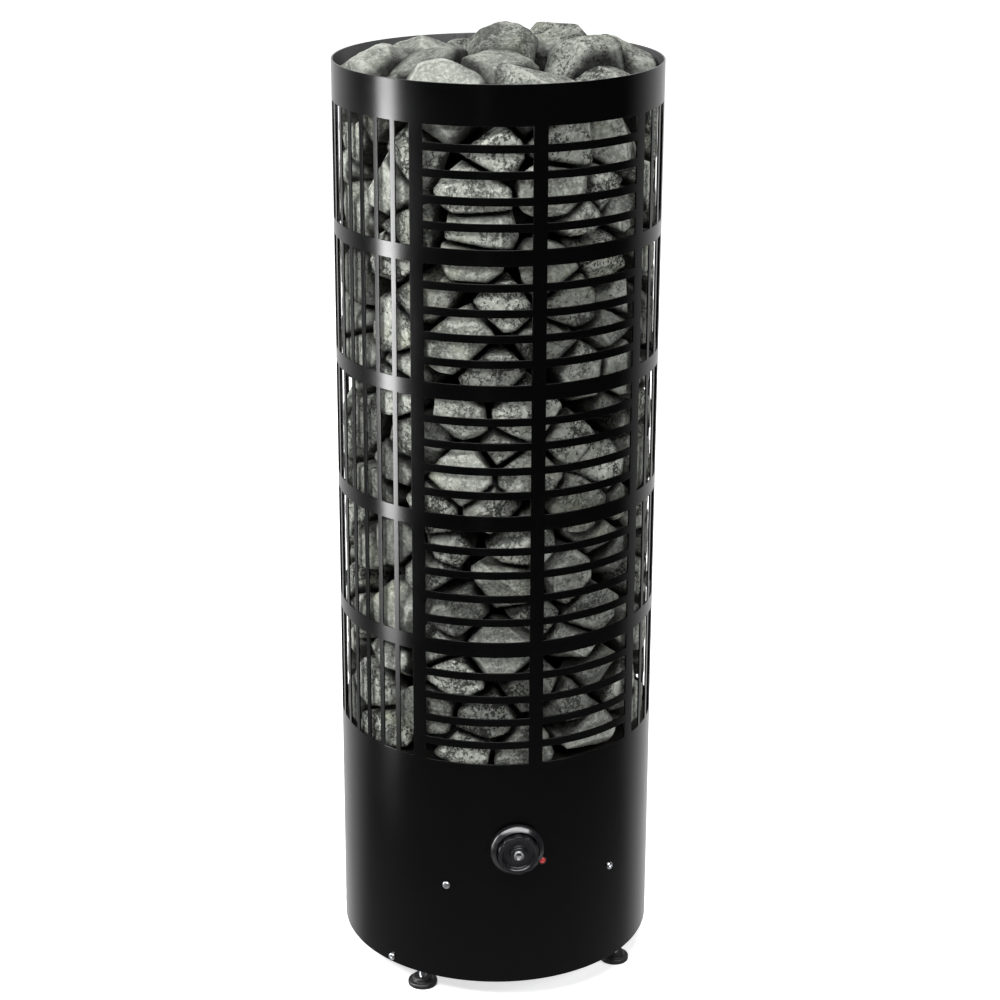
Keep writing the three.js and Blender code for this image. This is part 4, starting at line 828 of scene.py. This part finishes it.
def stone_seeds(sizes, rim, radius):
    """Names, kinds, numbers, angles and middles of all stones, ring by ring."""
    groups, kinds, numbers, angles, centres = [], [], [], [], []
    for group, kind, first, number, distance, level, start, drift in stone_rings(sizes, rim, radius):
        stone = first + np.arange(number)
        angle = (np.arange(number) + start + sizes.shift * stray(stone, 1)) * TAU / number
        height = level + sizes.shift * drift * stray(stone, 2)
        groups += [group] * number
        kinds += [kind] * number
        numbers.append(stone)
        angles.append(angle)
        centres.append(polar(angle, distance + sizes.sway[kind] * MM * stray(stone, 3), height))
    return {
        "group": np.array(groups),
        "kind": np.array(kinds),
        "stone": np.concatenate(numbers),
        "angle": np.concatenate(angles),
        "centre": np.concatenate(centres),
    }


def stone_directions(sizes, kind, angle):
    """Directions from pole to pole and round a stone, at the turns t - focus sin t from the outside."""
    rows, columns = sizes.rows[kind], sizes.columns[kind]
    fall = np.linspace(0, math.pi, rows)[:, None]
    turns = np.linspace(-math.pi, math.pi, columns, endpoint=False)[None, :]
    around = angle - math.pi / 2 + turns - sizes.focus[kind] * np.sin(turns)
    flat = np.sin(fall)
    flat[[0, -1]] = 0
    grid = np.broadcast_arrays(flat * np.cos(around), flat * np.sin(around), np.cos(fall))
    return np.stack(grid, axis=-1).reshape(-1, 3)


def stone_planes(sizes, seeds, place):
    """Normals and reaches of the planes that hold a stone: its floor, a share of the way to its neighbours by their
    weights, and the core."""
    centre = seeds["centre"][place]
    others = np.delete(seeds["centre"], place, axis=0) - centre
    distance = np.linalg.norm(others, axis=1)
    weight = 1 + np.take(sizes.variety, seeds["kind"]) * stray(seeds["stone"], 70)
    share = weight[place] / (weight[place] + np.delete(weight, place))
    normals = np.concatenate([[[0, 0, -1]], others / distance[:, None]])
    reaches = np.concatenate([[centre[2] - sizes.floor], distance * share - sizes.gap / 2])
    if seeds["kind"][place] != HEAP:
        inwards = polar(seeds["angle"][place] + math.pi, 1.0)
        normals = np.concatenate([normals, [inwards]])
        reaches = np.append(reaches, np.hypot(*centre[:2]) - sizes.core)
    return normals, reaches


def break_planes(sizes, stone, kind, ellipsoid):
    """Broken faces: scattered directions, each at a share of the ellipsoid's reach there."""
    breaks = sizes.breaks[kind]
    index = np.arange(breaks)
    height = 1 - (2 * index + 1) / breaks
    around = index * math.pi * (3 - math.sqrt(5)) + TAU * chance(stone, 11)
    flat = np.sqrt(1 - height**2)
    normals = np.stack([flat * np.cos(around), flat * np.sin(around), height], axis=-1)
    normals += 0.5 * np.stack([stray(stone, 20 + 3 * index + axis) for axis in range(3)], axis=-1)
    normals /= np.linalg.norm(normals, axis=1, keepdims=True)
    reach = 1 / np.linalg.norm(normals @ ellipsoid, axis=1)
    low, high = sizes.break_low[kind], sizes.break_high[kind]
    return normals, reach * (low + (high - low) * chance(stone, 60 + index))


def stone_oval(sizes, stone, kind, angle):
    """The matrix whose length along a direction is 1 over a tumbled ellipsoid's reach there."""
    size = [low + (high - low) * chance(stone, purpose)
            for (low, high), purpose in ((sizes.long, 4), (sizes.middle, 5), (sizes.short, 6))]
    lean = sizes.tumble
    angles = (lean * stray(stone, 7), lean * stray(stone, 8), angle + 2 * lean * stray(stone, 9))
    axes = [np.array(Matrix.Rotation(turned_by, 3, axis)) for turned_by, axis in zip(angles, "XYZ")]
    return axes[0] @ axes[1] @ axes[2] @ np.diag(1 / (sizes.fullness[kind] * np.array(size)))


def wall_pull(centre, directions, wall):
    """1 over the distance to a round wall along each direction: a / (sqrt(b^2 - a c) - b) of the usual quadratic."""
    a = (directions[:, :2] ** 2).sum(axis=1) + 1e-9
    b = directions[:, :2] @ centre[:2]
    c = (centre[:2] ** 2).sum() - wall**2
    return a / (np.sqrt(b * b - a * c) - b)


def stone_surface(sizes, seeds, place):
    """A stone's points: along each direction u the reach is 1 over the smooth maximum of the pulls n.u / reach of
    all planes, of the ellipsoid and of the wall, times a roughness of a few crossed waves.
    With them go the second pull over the first, which is 1 along the edges between two faces, and a share of
    painted shade: 1 on open faces, falling to 0 towards the next stone and far behind the wall."""
    stone, centre, kind, angle = (seeds[key][place] for key in ("stone", "centre", "kind", "angle"))
    directions = stone_directions(sizes, kind, angle)
    ellipsoid = stone_oval(sizes, stone, kind, angle)
    held, held_reaches = stone_planes(sizes, seeds, place)
    broken, broken_reaches = break_planes(sizes, stone, kind, ellipsoid)
    normals = np.concatenate([held, broken])
    reaches = np.concatenate([held_reaches, broken_reaches])
    pulls = np.maximum(directions @ (normals / reaches[:, None]).T, 0)
    oval = np.linalg.norm(directions @ ellipsoid, axis=1)
    wall = wall_pull(centre, directions, sizes.wall)
    pulls = np.concatenate([pulls, oval[:, None], wall[:, None]], axis=1)
    second, top = np.partition(pulls, -2, axis=1)[:, -2:].T
    pull = top * ((pulls / top[:, None]) ** sizes.sharpness).sum(axis=1) ** (1 / sizes.sharpness)
    points = directions / pull[:, None]
    points *= (1 - sizes.crag[kind] * crag(points, stone))[:, None]
    room = (held_reaches - points @ held.T).min(axis=1)
    placed = centre + points
    # Painted shade: the tone is darkened within a reach of the next stone.
    painted_unshaded_share = np.clip(room / sizes.painted_crevice_shade[int(kind == HEAP)], 0, 1)
    if kind != HEAP:
        # Painted shade: outside the heap, the tone grows dark with depth behind the wall.
        near, far = sizes.shade
        depth = sizes.wall - np.hypot(placed[:, 0], placed[:, 1])
        painted_unshaded_share *= np.clip((far - depth) / (far - near), 0, 1)
    return placed, second / top, painted_unshaded_share


def crag(points, stone):
    """Roughness from 0 to 1: waves at doubling frequency along scattered directions, each half as high."""
    total = np.zeros(len(points))
    height = 0.5
    scale = 110.0
    for octave in range(4):
        purpose = 90 + 12 * octave + np.arange(9)
        waves = stray(stone, purpose).reshape(3, 3)
        phase = np.sin(scale * points @ waves.T + TAU * chance(stone, purpose[:3] + 9))
        total += height * (0.5 + 0.5 * phase.prod(axis=1))
        height *= 0.5
        scale *= 2.0
    return total


def make_stones(sizes, seeds, group, places):
    """The stones of one course, with each one's tone (its own tone times painted shade in crevices and behind the
    wall), pale edges (partly wear, partly a painted highlight) and pits kept at its points.
    """
    parts, tones, edges, pits = [], [], [], []
    for place in places:
        stone, kind = seeds["stone"][place], seeds["kind"][place]
        points, edge, painted_unshaded_share = stone_surface(sizes, seeds, place)
        tone = sizes.brightness[kind] * (1 + sizes.tones[kind] * stray(stone, 80))
        parts.append((points, grid_quads(sizes.rows[kind], sizes.columns[kind])))
        # Painted shade: the tone falls towards the darkest share where the stone is not open.
        tones.append(tone * (sizes.painted_shade_darkest + (1 - sizes.painted_shade_darkest) * painted_unshaded_share))
        edges.append(edge)
        pits.append(np.full(len(points), sizes.pits[kind] * (0.35 + chance(stone, 81))))
    values = {"tone": np.concatenate(tones), "edge": np.concatenate(edges), "pits": np.concatenate(pits)}
    make_piece(f"{group}_broken", parts, finishes()["stone"], [group], crease=180, values=values)


class BuildControl(PieceOperator, bpy.types.Operator):
    """Turns the knob, its cap and the bezel"""

    bl_idname = "heater.control"
    bl_label = "Rotary control"

    def execute(self, context):
        sizes = context.scene.heater_control
        mantle = context.scene.heater_mantle
        level = mantle.floor_gap + sizes.height
        for name, part, nodes, slot, body in (
            ("fluted_knob", knob_surface(sizes, mantle), ["control_knob"], "black_plastic", CONTROL_BODY),
            ("hub_cap", cap_surface(sizes, mantle), ["knob_cap"], "chrome", CONTROL_BODY),
            ("bezel_ring", bezel_surface(sizes, mantle), ["knob_bezel"], "black_plastic", MAIN_BODY),
        ):
            make_piece(name, [on_wall(part, sizes.angle, level)], finishes()[slot], nodes, body)
        return {"FINISHED"}


def knob_faces(sizes, mantle):
    """Back and front of the knob from the heater's axis, and its radius."""
    back = mantle.radius + sizes.web_rise + sizes.web + sizes.knob_lift
    radius = sizes.bezel_radius - sizes.bezel_face - sizes.knob_gap
    return back, back + sizes.knob_height, radius


def knob_surface(sizes, mantle, steps=240):
    """The knob's profile carried round, its radius drawn in by depth times ((1 + cos(flutes t)) / 2)^2 at the grip."""
    back, front, radius = knob_faces(sizes, mantle)
    rim = radius - sizes.flute_depth - sizes.rim
    floor = front - sizes.dish
    recess = back + sizes.recess_depth
    seat = sizes.cap_radius + 0.3 * MM
    profile = eased(
        [
            (0, recess), (sizes.nut_recess, recess), (sizes.nut_recess, back), (radius, back), (radius, front),
            (rim, front), (rim - sizes.dish * 0.6, floor), (sizes.hub, floor), (sizes.hub - 0.9 * MM, front),
            (seat, front), (seat, front - sizes.cap_seat), (0, front - sizes.cap_seat),
        ],
        np.array([0.2, 0.2, 0.2, 0.6, 1.1, 0.9, 0.8, 0.8, 0.8, 0.2, 0.2]) [:10] * MM,
        8,
    )
    around = np.linspace(0, TAU, steps, endpoint=False)
    flute = ((1 + np.cos(sizes.flutes * around)) / 2) ** 2
    share = np.clip((profile[:, 0] - rim) / (radius - rim), 0, 1) * (profile[:, 1] > back - 0.1 * MM)
    radii = profile[:, :1] - sizes.flute_depth * share[:, None] * flute[None, :]
    return carried_round(radii, profile[:, 1], steps)


def cap_surface(sizes, mantle):
    """A low dome with a raised ring at its edge."""
    _, front, _ = knob_faces(sizes, mantle)
    seat = front - sizes.cap_seat + 0.3 * MM
    top = seat + sizes.cap_height
    edge = sizes.cap_radius
    return turned([(0, seat), (edge, seat), (edge, top), (edge - 1.1 * MM, top), (edge - 1.6 * MM, top - 0.5 * MM),
                   (edge / 3, top - 0.2 * MM), (0, top - 0.15 * MM)], 0.5 * MM, 72)


def bezel_surface(sizes, mantle, steps=288):
    """A sloped ring whose back follows the mantle, z = sqrt(R^2 - x^2), and whose edge gives way to the lamp:
    the outer radius is the smaller of the ring's and the near side of the lamp's circle along each direction."""
    around = np.linspace(0, TAU, steps, endpoint=False)
    inner, outer = sizes.bezel_radius - sizes.bezel_face, sizes.bezel_radius
    front = mantle.radius + sizes.bezel_height
    reach = math.hypot(sizes.lamp_offset, sizes.lamp_drop)
    bearing = around - math.atan2(-sizes.lamp_drop, sizes.lamp_offset)
    room = (sizes.lamp_radius + 0.3 * MM) ** 2 - (reach * np.sin(bearing)) ** 2
    near = reach * np.cos(bearing) - np.sqrt(np.maximum(room, 0))
    edge = np.where((room > 0) & (np.cos(bearing) > 0), np.minimum(near, outer), outer)

    def slope(radius):
        return front - sizes.bezel_chamfer * (radius - inner) / (outer - inner)

    def wall(radius):
        return np.sqrt(mantle.radius**2 - (radius * np.cos(around)) ** 2) + 0.3 * MM

    web_back = np.full(steps, mantle.radius + sizes.web_rise)
    web_front = web_back + sizes.web
    same = np.ones(steps)
    soft = 0.5 * MM
    rows = [
        (sizes.bush_hole * same, web_back),
        (inner * same, web_back),
        (inner * same, np.minimum(wall(inner), web_back)),
        (edge, wall(edge)),
        (edge, slope(edge) - soft),
        (edge - 0.3 * soft, slope(edge) - 0.25 * soft),
        (edge - soft, slope(edge - soft)),
        (inner + soft + 0 * same, slope(inner + soft) * same),
        (inner + 0.3 * soft + 0 * same, front - 0.35 * soft + 0 * same),
        (inner * same, front - soft + 0 * same),
        (inner * same, web_front),
        (sizes.bush_hole * same, web_front),
    ]
    radii, heights = (np.stack(column) for column in zip(*rows))
    return carried_round(radii, heights, steps, closed=True)


class BuildLamp(PieceOperator, bpy.types.Operator):
    """Turns the pilot lamp's body and lens"""

    bl_idname = "heater.lamp"
    bl_label = "Pilot lamp"

    def execute(self, context):
        sizes = context.scene.heater_control
        mantle = context.scene.heater_mantle
        angle = sizes.angle + sizes.lamp_offset / mantle.radius
        level = mantle.floor_gap + sizes.height - sizes.lamp_drop
        back = mantle.radius + 0.3 * MM
        front = back + sizes.lamp_height
        seat = front - sizes.lens_seat
        lens, edge, barrel = sizes.lens_radius, sizes.lamp_radius, sizes.lamp_barrel
        body = turned([(0, back - sizes.lamp_depth), (barrel, back - sizes.lamp_depth), (barrel, back), (edge, back),
                       (edge, front), (lens + 0.2 * MM, front), (lens + 0.2 * MM, seat), (0, seat)], 0.35 * MM, 48)
        bulge = np.linspace(0, math.pi / 2, 10)
        dome = np.stack([lens * np.cos(bulge), front - 0.4 * MM + sizes.lens_dome * np.sin(bulge)], axis=-1)
        profile = np.concatenate([[(0, seat + 0.3 * MM), (lens, seat + 0.3 * MM)], dome])
        glass = carried_round(profile[:, 0], profile[:, 1], 48)
        for name, part, node, slot in (
            ("lamp_body", body, "indicator_body", "black_plastic"),
            ("lamp_lens", glass, "indicator_lens", "lamp_red"),
        ):
            make_piece(name, [on_wall(part, angle, level)], finishes()[slot], [node])
        return {"FINISHED"}


class BuildScrews(PieceOperator, bpy.types.Operator):
    """Turns the side screws and the low screws"""

    bl_idname = "heater.screws"
    bl_label = "Screws"

    def execute(self, context):
        sizes = context.scene.heater_fittings
        mantle = context.scene.heater_mantle
        side = mantle.floor_gap + sizes.side_height
        places = [("side_screw_left", -sizes.side_angle, side), ("side_screw_right", sizes.side_angle, side)]
        for i in range(sizes.low_screws):
            angle = sizes.low_angle + i * TAU / sizes.low_screws
            places.append((f"low_screw_{i + 1}", angle, mantle.floor_gap + sizes.low_height))
        part = screw_surface(sizes, mantle.radius + sizes.clearance)
        for node, angle, level in places:
            make_piece(node + "_turned", [on_wall(part, angle, level)], finishes()["zinc"], [node])
        return {"FINISHED"}


def screw_surface(sizes, face, steps=48):
    """A round head on a shank, with a hexagon socket: the socket's rows take the hexagon's radius."""
    around = np.linspace(0, TAU, steps, endpoint=False)
    top = face + sizes.head_height
    edge, shank = sizes.head_radius, sizes.screw_radius
    bulge = np.linspace(0, 1, 7)
    crown_radius = edge - (edge - 1.5 * sizes.socket) * bulge**2
    crown_height = face + 0.4 * MM + (sizes.head_height - 0.4 * MM) * (1 - (1 - bulge) ** 2)
    radii = np.concatenate([[0, shank, shank, edge], crown_radius])
    heights = np.concatenate([[face - sizes.screw_length, face - sizes.screw_length, face, face], crown_height])
    radii = np.broadcast_to(radii[:, None], (len(radii), steps))
    socket = hexagon(2 * sizes.socket * 0.92, around)
    radii = np.concatenate([radii, [socket * 1.06, socket, 0 * socket]])
    heights = np.concatenate([heights, [top, top - sizes.socket_depth, top - sizes.socket_depth]])
    return carried_round(radii, heights, steps)


class BuildFeet(PieceOperator, bpy.types.Operator):
    """Turns the foot pads, threads the stems and cuts the nuts"""

    bl_idname = "heater.feet"
    bl_label = "Levelling feet"

    def execute(self, context):
        sizes = context.scene.heater_fittings
        mantle = context.scene.heater_mantle
        collar = sizes.pad_edge + sizes.collar_height
        bore = sizes.stem_radius + 0.35 * MM
        pad = turned([(0, 0), (sizes.pad_radius, 0), (sizes.pad_radius, sizes.pad_edge),
                      (sizes.collar_radius + 0.8 * MM, sizes.pad_edge), (sizes.collar_radius, collar),
                      (bore, collar), (bore, sizes.pad_floor), (0, sizes.pad_floor)],
                     np.array([1.0, 1.8, 0.8, 1.2, 0.6, 0.3]) * MM)
        low = sizes.pad_floor + sizes.clearance
        stem = thread(sizes.stem_radius, low, low + sizes.stem_length, sizes.thread_pitch, sizes.thread_depth)
        top = mantle.floor_gap + sizes.plate_rise - sizes.clearance
        lock = nut(sizes.nut_across, top - sizes.nut_height, top, bore)
        circle = mantle.radius - sizes.foot_inset
        for i in range(sizes.feet):
            angle = sizes.foot_angle + i * TAU / sizes.feet
            for name, part, slot, body in (
                ("pad", pad, "foot_plastic", f"foot_{i + 1}"),
                ("stem", stem, "zinc", f"foot_{i + 1}"),
                ("nut", lock, "zinc", MAIN_BODY),
            ):
                node = f"foot_{name}_{i + 1}"
                make_piece(f"levelling_{name}_{i + 1}", [on_floor(part, angle, circle)], finishes()[slot], [node], body)
        return {"FINISHED"}


class BuildBack(PieceOperator, bpy.types.Operator):
    """Shapes the cable gland and the reset button"""

    bl_idname = "heater.back"
    bl_label = "Gland and reset button"

    def execute(self, context):
        sizes = context.scene.heater_fittings
        mantle = context.scene.heater_mantle
        face = mantle.radius + sizes.clearance
        hexed = face + sizes.gland_hex
        dome = sizes.gland_dome_radius
        ribs = np.linspace(0, TAU, 120, endpoint=False)
        profile = eased([(0, face), (dome, face), (dome, hexed + 0.6 * sizes.gland_dome), (0.75 * dome, hexed + sizes.gland_dome),
                         (0.55 * dome, hexed + sizes.gland_dome), (0.5 * dome, hexed + 0.8 * sizes.gland_dome),
                         (0, hexed + 0.8 * sizes.gland_dome)], 0.8 * MM)
        ribbed = (profile[:, :1] > 0.9 * dome) * 0.5 * MM * (0.5 + 0.5 * np.cos(20 * ribs))[None, :]
        cap = carried_round(profile[:, :1] - ribbed, profile[:, 1], 120)
        collar = nut(sizes.gland_across, face, hexed, 0.5 * dome)
        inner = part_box("gland_nut")[0]
        reach = math.hypot(inner.x, inner.y)
        shank = turned([(0, face - (mantle.radius - reach) - 4 * MM), (sizes.gland_thread, face - (mantle.radius - reach) - 4 * MM),
                        (sizes.gland_thread, face + MM), (0, face + MM)], 0.5 * MM)
        level = mantle.floor_gap + sizes.gland_height
        parts = [on_wall(part, sizes.gland_angle, level) for part in (cap, collar, shank)]
        make_piece("closed_gland", parts, finishes()["foot_plastic"], ["cable_gland"])
        plate = mantle.floor_gap + sizes.plate_rise
        cap_top = plate - sizes.button_travel - sizes.clearance
        cap_low = cap_top - sizes.button_cap_height
        button = turned([(0, cap_low), (sizes.button_cap, cap_low), (sizes.button_cap, cap_top), (sizes.button_radius, cap_top),
                         (sizes.button_radius, sizes.button_top), (0, sizes.button_top)], 0.5 * MM)
        part = on_floor(button, sizes.button_angle, mantle.radius - sizes.button_inset)
        make_piece("reset_push", [part], finishes()["button_red"], ["reset_button"], "reset")
        return {"FINISHED"}


class FinishSolids(PieceOperator, bpy.types.Operator):
    """Gives every solid that still shows the finish of its slot"""

    bl_idname = "heater.solids"
    bl_label = "Finish of the solids"

    def execute(self, context):
        for entry in frame["record"]["subparts"]:
            solid = frame["nodes"][entry["node"]]
            solid.data.materials.clear()
            scorched = entry["node"].startswith(SCORCHED)
            solid.data.materials.append(finishes()["scorched_steel" if scorched else entry["material_slot"]])
        return {"FINISHED"}


class BuildStudio(PieceOperator, bpy.types.Operator):
    """Sets the camera, the floor, the backdrop's white and the lights"""

    bl_idname = "heater.studio"
    bl_label = "Studio"

    def execute(self, context):
        settings = context.scene.heater_studio
        context.scene.view_settings.view_transform = "Standard"
        set_camera(context, settings)
        set_floor(settings)
        set_world(context, settings)
        set_lights(settings)
        return {"FINISHED"}


def set_camera(context, settings):
    """A camera on a circle round the heater, tilted down, with a small lens shift."""
    data = bpy.data.cameras.new("camera")
    data.lens = settings.lens
    data.shift_x, data.shift_y = settings.shift
    data.clip_end = 100.0
    camera = bpy.data.objects.new("camera", data)
    place = Matrix.Translation(polar(settings.camera_angle, settings.camera_distance, settings.camera_height))
    heading = Matrix.Rotation(settings.camera_angle, 4, "Z")
    tilt = Matrix.Rotation(math.pi / 2 - settings.camera_pitch, 4, "X")
    roll = Matrix.Rotation(settings.camera_roll, 4, "Z")
    camera.matrix_world = place @ heading @ tilt @ roll
    context.scene.collection.objects.link(camera)
    context.scene.camera = camera


def set_floor(settings):
    """A pale floor that keeps the heater's shadow and, where it is seen directly, grows white away from the heater."""
    half = settings.floor_size / 2
    points = np.array([(-half, -half, 0), (half, -half, 0), (half, half, 0), (-half, half, 0)])
    mesh = make_mesh("floor", points, np.array([[0, 1, 2, 3]]))
    material, tree, shader, place = new_finish("floor", Roughness=0.9, Specular_IOR_Level=0.0)
    shader.inputs["Base Color"].default_value = opaque(settings.floor)
    shader.inputs["Emission Color"].default_value = (1, 1, 1, 1)
    away = add_node(tree, "ShaderNodeVectorMath", {0: place}, operation="LENGTH").outputs["Value"]
    camera_ray = add_node(tree, "ShaderNodeLightPath").outputs["Is Camera Ray"]
    lift = calculated(tree, "MULTIPLY", camera_ray, stepped(tree, away, *settings.lift_reach, *settings.lift))
    tree.links.new(lift, shader.inputs["Emission Strength"])
    mesh.materials.append(material)
    floor = bpy.data.objects.new("floor", mesh)
    bpy.context.scene.collection.objects.link(floor)
    floor.visible_glossy = False


def set_world(context, settings):
    """White behind the heater where it is seen directly or mirrored, and an even soft grey as light."""
    world = bpy.data.worlds.new("studio")
    world.use_nodes = True
    tree = world.node_tree
    tree.nodes.clear()
    path = add_node(tree, "ShaderNodeLightPath").outputs
    direction = add_node(tree, "ShaderNodeTexCoord").outputs["Generated"]
    behind = [float(c) for c in polar(settings.camera_angle + math.pi, 1.0)]
    facing = add_node(tree, "ShaderNodeVectorMath", {0: direction, 1: behind}, operation="DOT_PRODUCT").outputs["Value"]
    backdrop = stepped(tree, facing, 0.1, 0.82)
    down = add_node(tree, "ShaderNodeVectorMath", {0: direction, 1: (0, 0, -1)}, operation="DOT_PRODUCT").outputs["Value"]
    ground = stepped(tree, down, 0.38, 0.6, 0.01, 0.6)
    mirrored = add_node(tree, "ShaderNodeMath", {0: backdrop, 1: ground}, operation="MAXIMUM").outputs[0]
    ambient = add_node(tree, "ShaderNodeMath", {0: path["Is Diffuse Ray"], 1: 0.16}, operation="MULTIPLY").outputs[0]
    glossy = add_node(tree, "ShaderNodeMath", {0: path["Is Glossy Ray"], 1: mirrored}, operation="MULTIPLY").outputs[0]
    seen = add_node(tree, "ShaderNodeMath", {0: path["Is Camera Ray"], 1: path["Is Transmission Ray"]}, operation="MAXIMUM").outputs[0]
    strength = add_node(tree, "ShaderNodeMath", {0: ambient, 1: glossy}, operation="ADD").outputs[0]
    strength = add_node(tree, "ShaderNodeMath", {0: strength, 1: seen}, operation="ADD").outputs[0]
    background = add_node(tree, "ShaderNodeBackground", {"Color": (1, 1, 1, 1), "Strength": strength})
    output = add_node(tree, "ShaderNodeOutputWorld")
    tree.links.new(background.outputs[0], output.inputs["Surface"])
    context.scene.world = world


def add_softbox(name, angle, distance, level, width, height, watts, mirrored):
    """A soft area light that faces the heater's axis."""
    data = bpy.data.lights.new(name, "AREA")
    data.shape = "RECTANGLE"
    data.size, data.size_y = width, height
    data.energy = watts
    lamp = bpy.data.objects.new(name, data)
    place = polar(angle, distance, level)
    aim = np.array([0, 0, 0.6]) - place
    heading = math.atan2(-aim[0], aim[1])
    rise = math.atan2(aim[2], math.hypot(aim[0], aim[1]))
    lamp.matrix_world = Matrix.Translation(place) @ Matrix.Rotation(heading, 4, "Z") @ Matrix.Rotation(math.pi / 2 + rise, 4, "X")
    lamp.visible_glossy = mirrored
    lamp.visible_camera = False
    bpy.context.scene.collection.objects.link(lamp)


def add_card(name, corners, strength, fade=None):
    """A bright card that only shows in reflections, as a strip light beside the heater does.
    Where a fade is given, the glow grows over the first two levels and falls to a share over the last two."""
    mesh = make_mesh(name, np.array(corners), np.array([[0, 1, 2, 3]]))
    material = bpy.data.materials.new(name)
    material.use_nodes = True
    tree = material.node_tree
    tree.nodes.clear()
    glow = add_node(tree, "ShaderNodeEmission", {"Color": (1, 1, 1, 1), "Strength": strength})
    if fade is not None:
        place = add_node(tree, "ShaderNodeTexCoord").outputs["Object"]
        level = add_node(tree, "ShaderNodeSeparateXYZ", {0: place}).outputs["Z"]
        grow = stepped(tree, level, fade[0], fade[1], 0.0, strength)
        fall = stepped(tree, level, fade[2], fade[3], 1.0, fade[4])
        tree.links.new(calculated(tree, "MULTIPLY", grow, fall), glow.inputs["Strength"])
    output = add_node(tree, "ShaderNodeOutputMaterial")
    tree.links.new(glow.outputs[0], output.inputs["Surface"])
    mesh.materials.append(material)
    card = bpy.data.objects.new(name, mesh)
    bpy.context.scene.collection.objects.link(card)
    card.visible_camera = False
    card.visible_diffuse = False
    card.visible_shadow = False


def upright_card(name, angle, distance, low, high, width, strength, fade=None):
    """A card that stands at a distance from the heater's axis and faces it."""
    side = np.array([math.cos(angle), math.sin(angle), 0]) * width / 2
    middle = polar(angle, distance)
    corners = [middle - side + (0, 0, low), middle + side + (0, 0, low),
               middle + side + (0, 0, high), middle - side + (0, 0, high)]
    add_card(name, corners, strength, fade)


def level_card(name, angle, near, far, level, width, strength):
    """A card that lies level in front of the heater between two distances from its axis."""
    side = np.array([math.cos(angle), math.sin(angle), 0]) * width / 2
    first, last = polar(angle, near, level), polar(angle, far, level)
    add_card(name, [first - side, first + side, last + side, last - side], strength)


def set_lights(settings):
    """A large top light, a key from the left, weaker fills from the right and the back, and cards for reflections."""
    view = settings.camera_angle
    add_softbox("top_light", view, 0.9, 2.6, 1.2, 1.2, 40, True)
    add_softbox("key_light", view - math.radians(45), 2.2, 2.3, 0.8, 0.8, 100, False)
    add_softbox("fill_light", view + math.radians(60), 2.6, 1.6, 1.0, 1.0, 34, False)
    add_softbox("back_light", view + math.radians(170), 2.6, 1.8, 1.6, 1.0, 50, False)
    upright_card("left_strip", view - math.radians(76.5), 1.2, -0.35, 0.85, 0.27, 50, (-0.3, 0.5, 0.45, 0.85, 0.6))
    upright_card("front_strip", view - math.radians(9), 1.6, -0.6, 1.4, 0.16, 0.18)
    level_card("canopy", view, 0.65, 1.3, 1.7, 3.6, 18)


class HeaterPanel(bpy.types.Panel):
    """Lists the steps that build the heater"""

    bl_idname = "VIEW3D_PT_heater"
    bl_label = "Pillar sauna heater"
    bl_space_type = "VIEW_3D"
    bl_region_type = "UI"
    bl_category = "Heater"

    def draw(self, context):
        for step in STEPS:
            self.layout.operator(step.bl_idname)


GROUPS = {
    "heater_mantle": MantleSizes,
    "heater_stones": StoneSizes,
    "heater_control": ControlSizes,
    "heater_fittings": FittingSizes,
    "heater_colours": FinishColours,
    "heater_studio": StudioSettings,
}
STEPS = (
    FinishSolids,
    BuildMantle,
    BuildStones,
    BuildControl,
    BuildLamp,
    BuildScrews,
    BuildFeet,
    BuildBack,
    BuildStudio,
)


def register():
    """Registers the property groups, the operators and the panel."""
    for name, group in GROUPS.items():
        bpy.utils.register_class(group)
        setattr(bpy.types.Scene, name, bpy.props.PointerProperty(type=group))
    for item in (*STEPS, HeaterPanel):
        bpy.utils.register_class(item)


def unregister():
    """Removes what register added."""
    for item in (HeaterPanel, *reversed(STEPS)):
        bpy.utils.unregister_class(item)
    for name, group in GROUPS.items():
        delattr(bpy.types.Scene, name)
        bpy.utils.unregister_class(group)


def main():
    """Builds the heater step by step."""
    register()
    for step in STEPS:
        category, name = step.bl_idname.split(".")
        getattr(getattr(bpy.ops, category), name)()


if __name__ == "__main__":
    main()
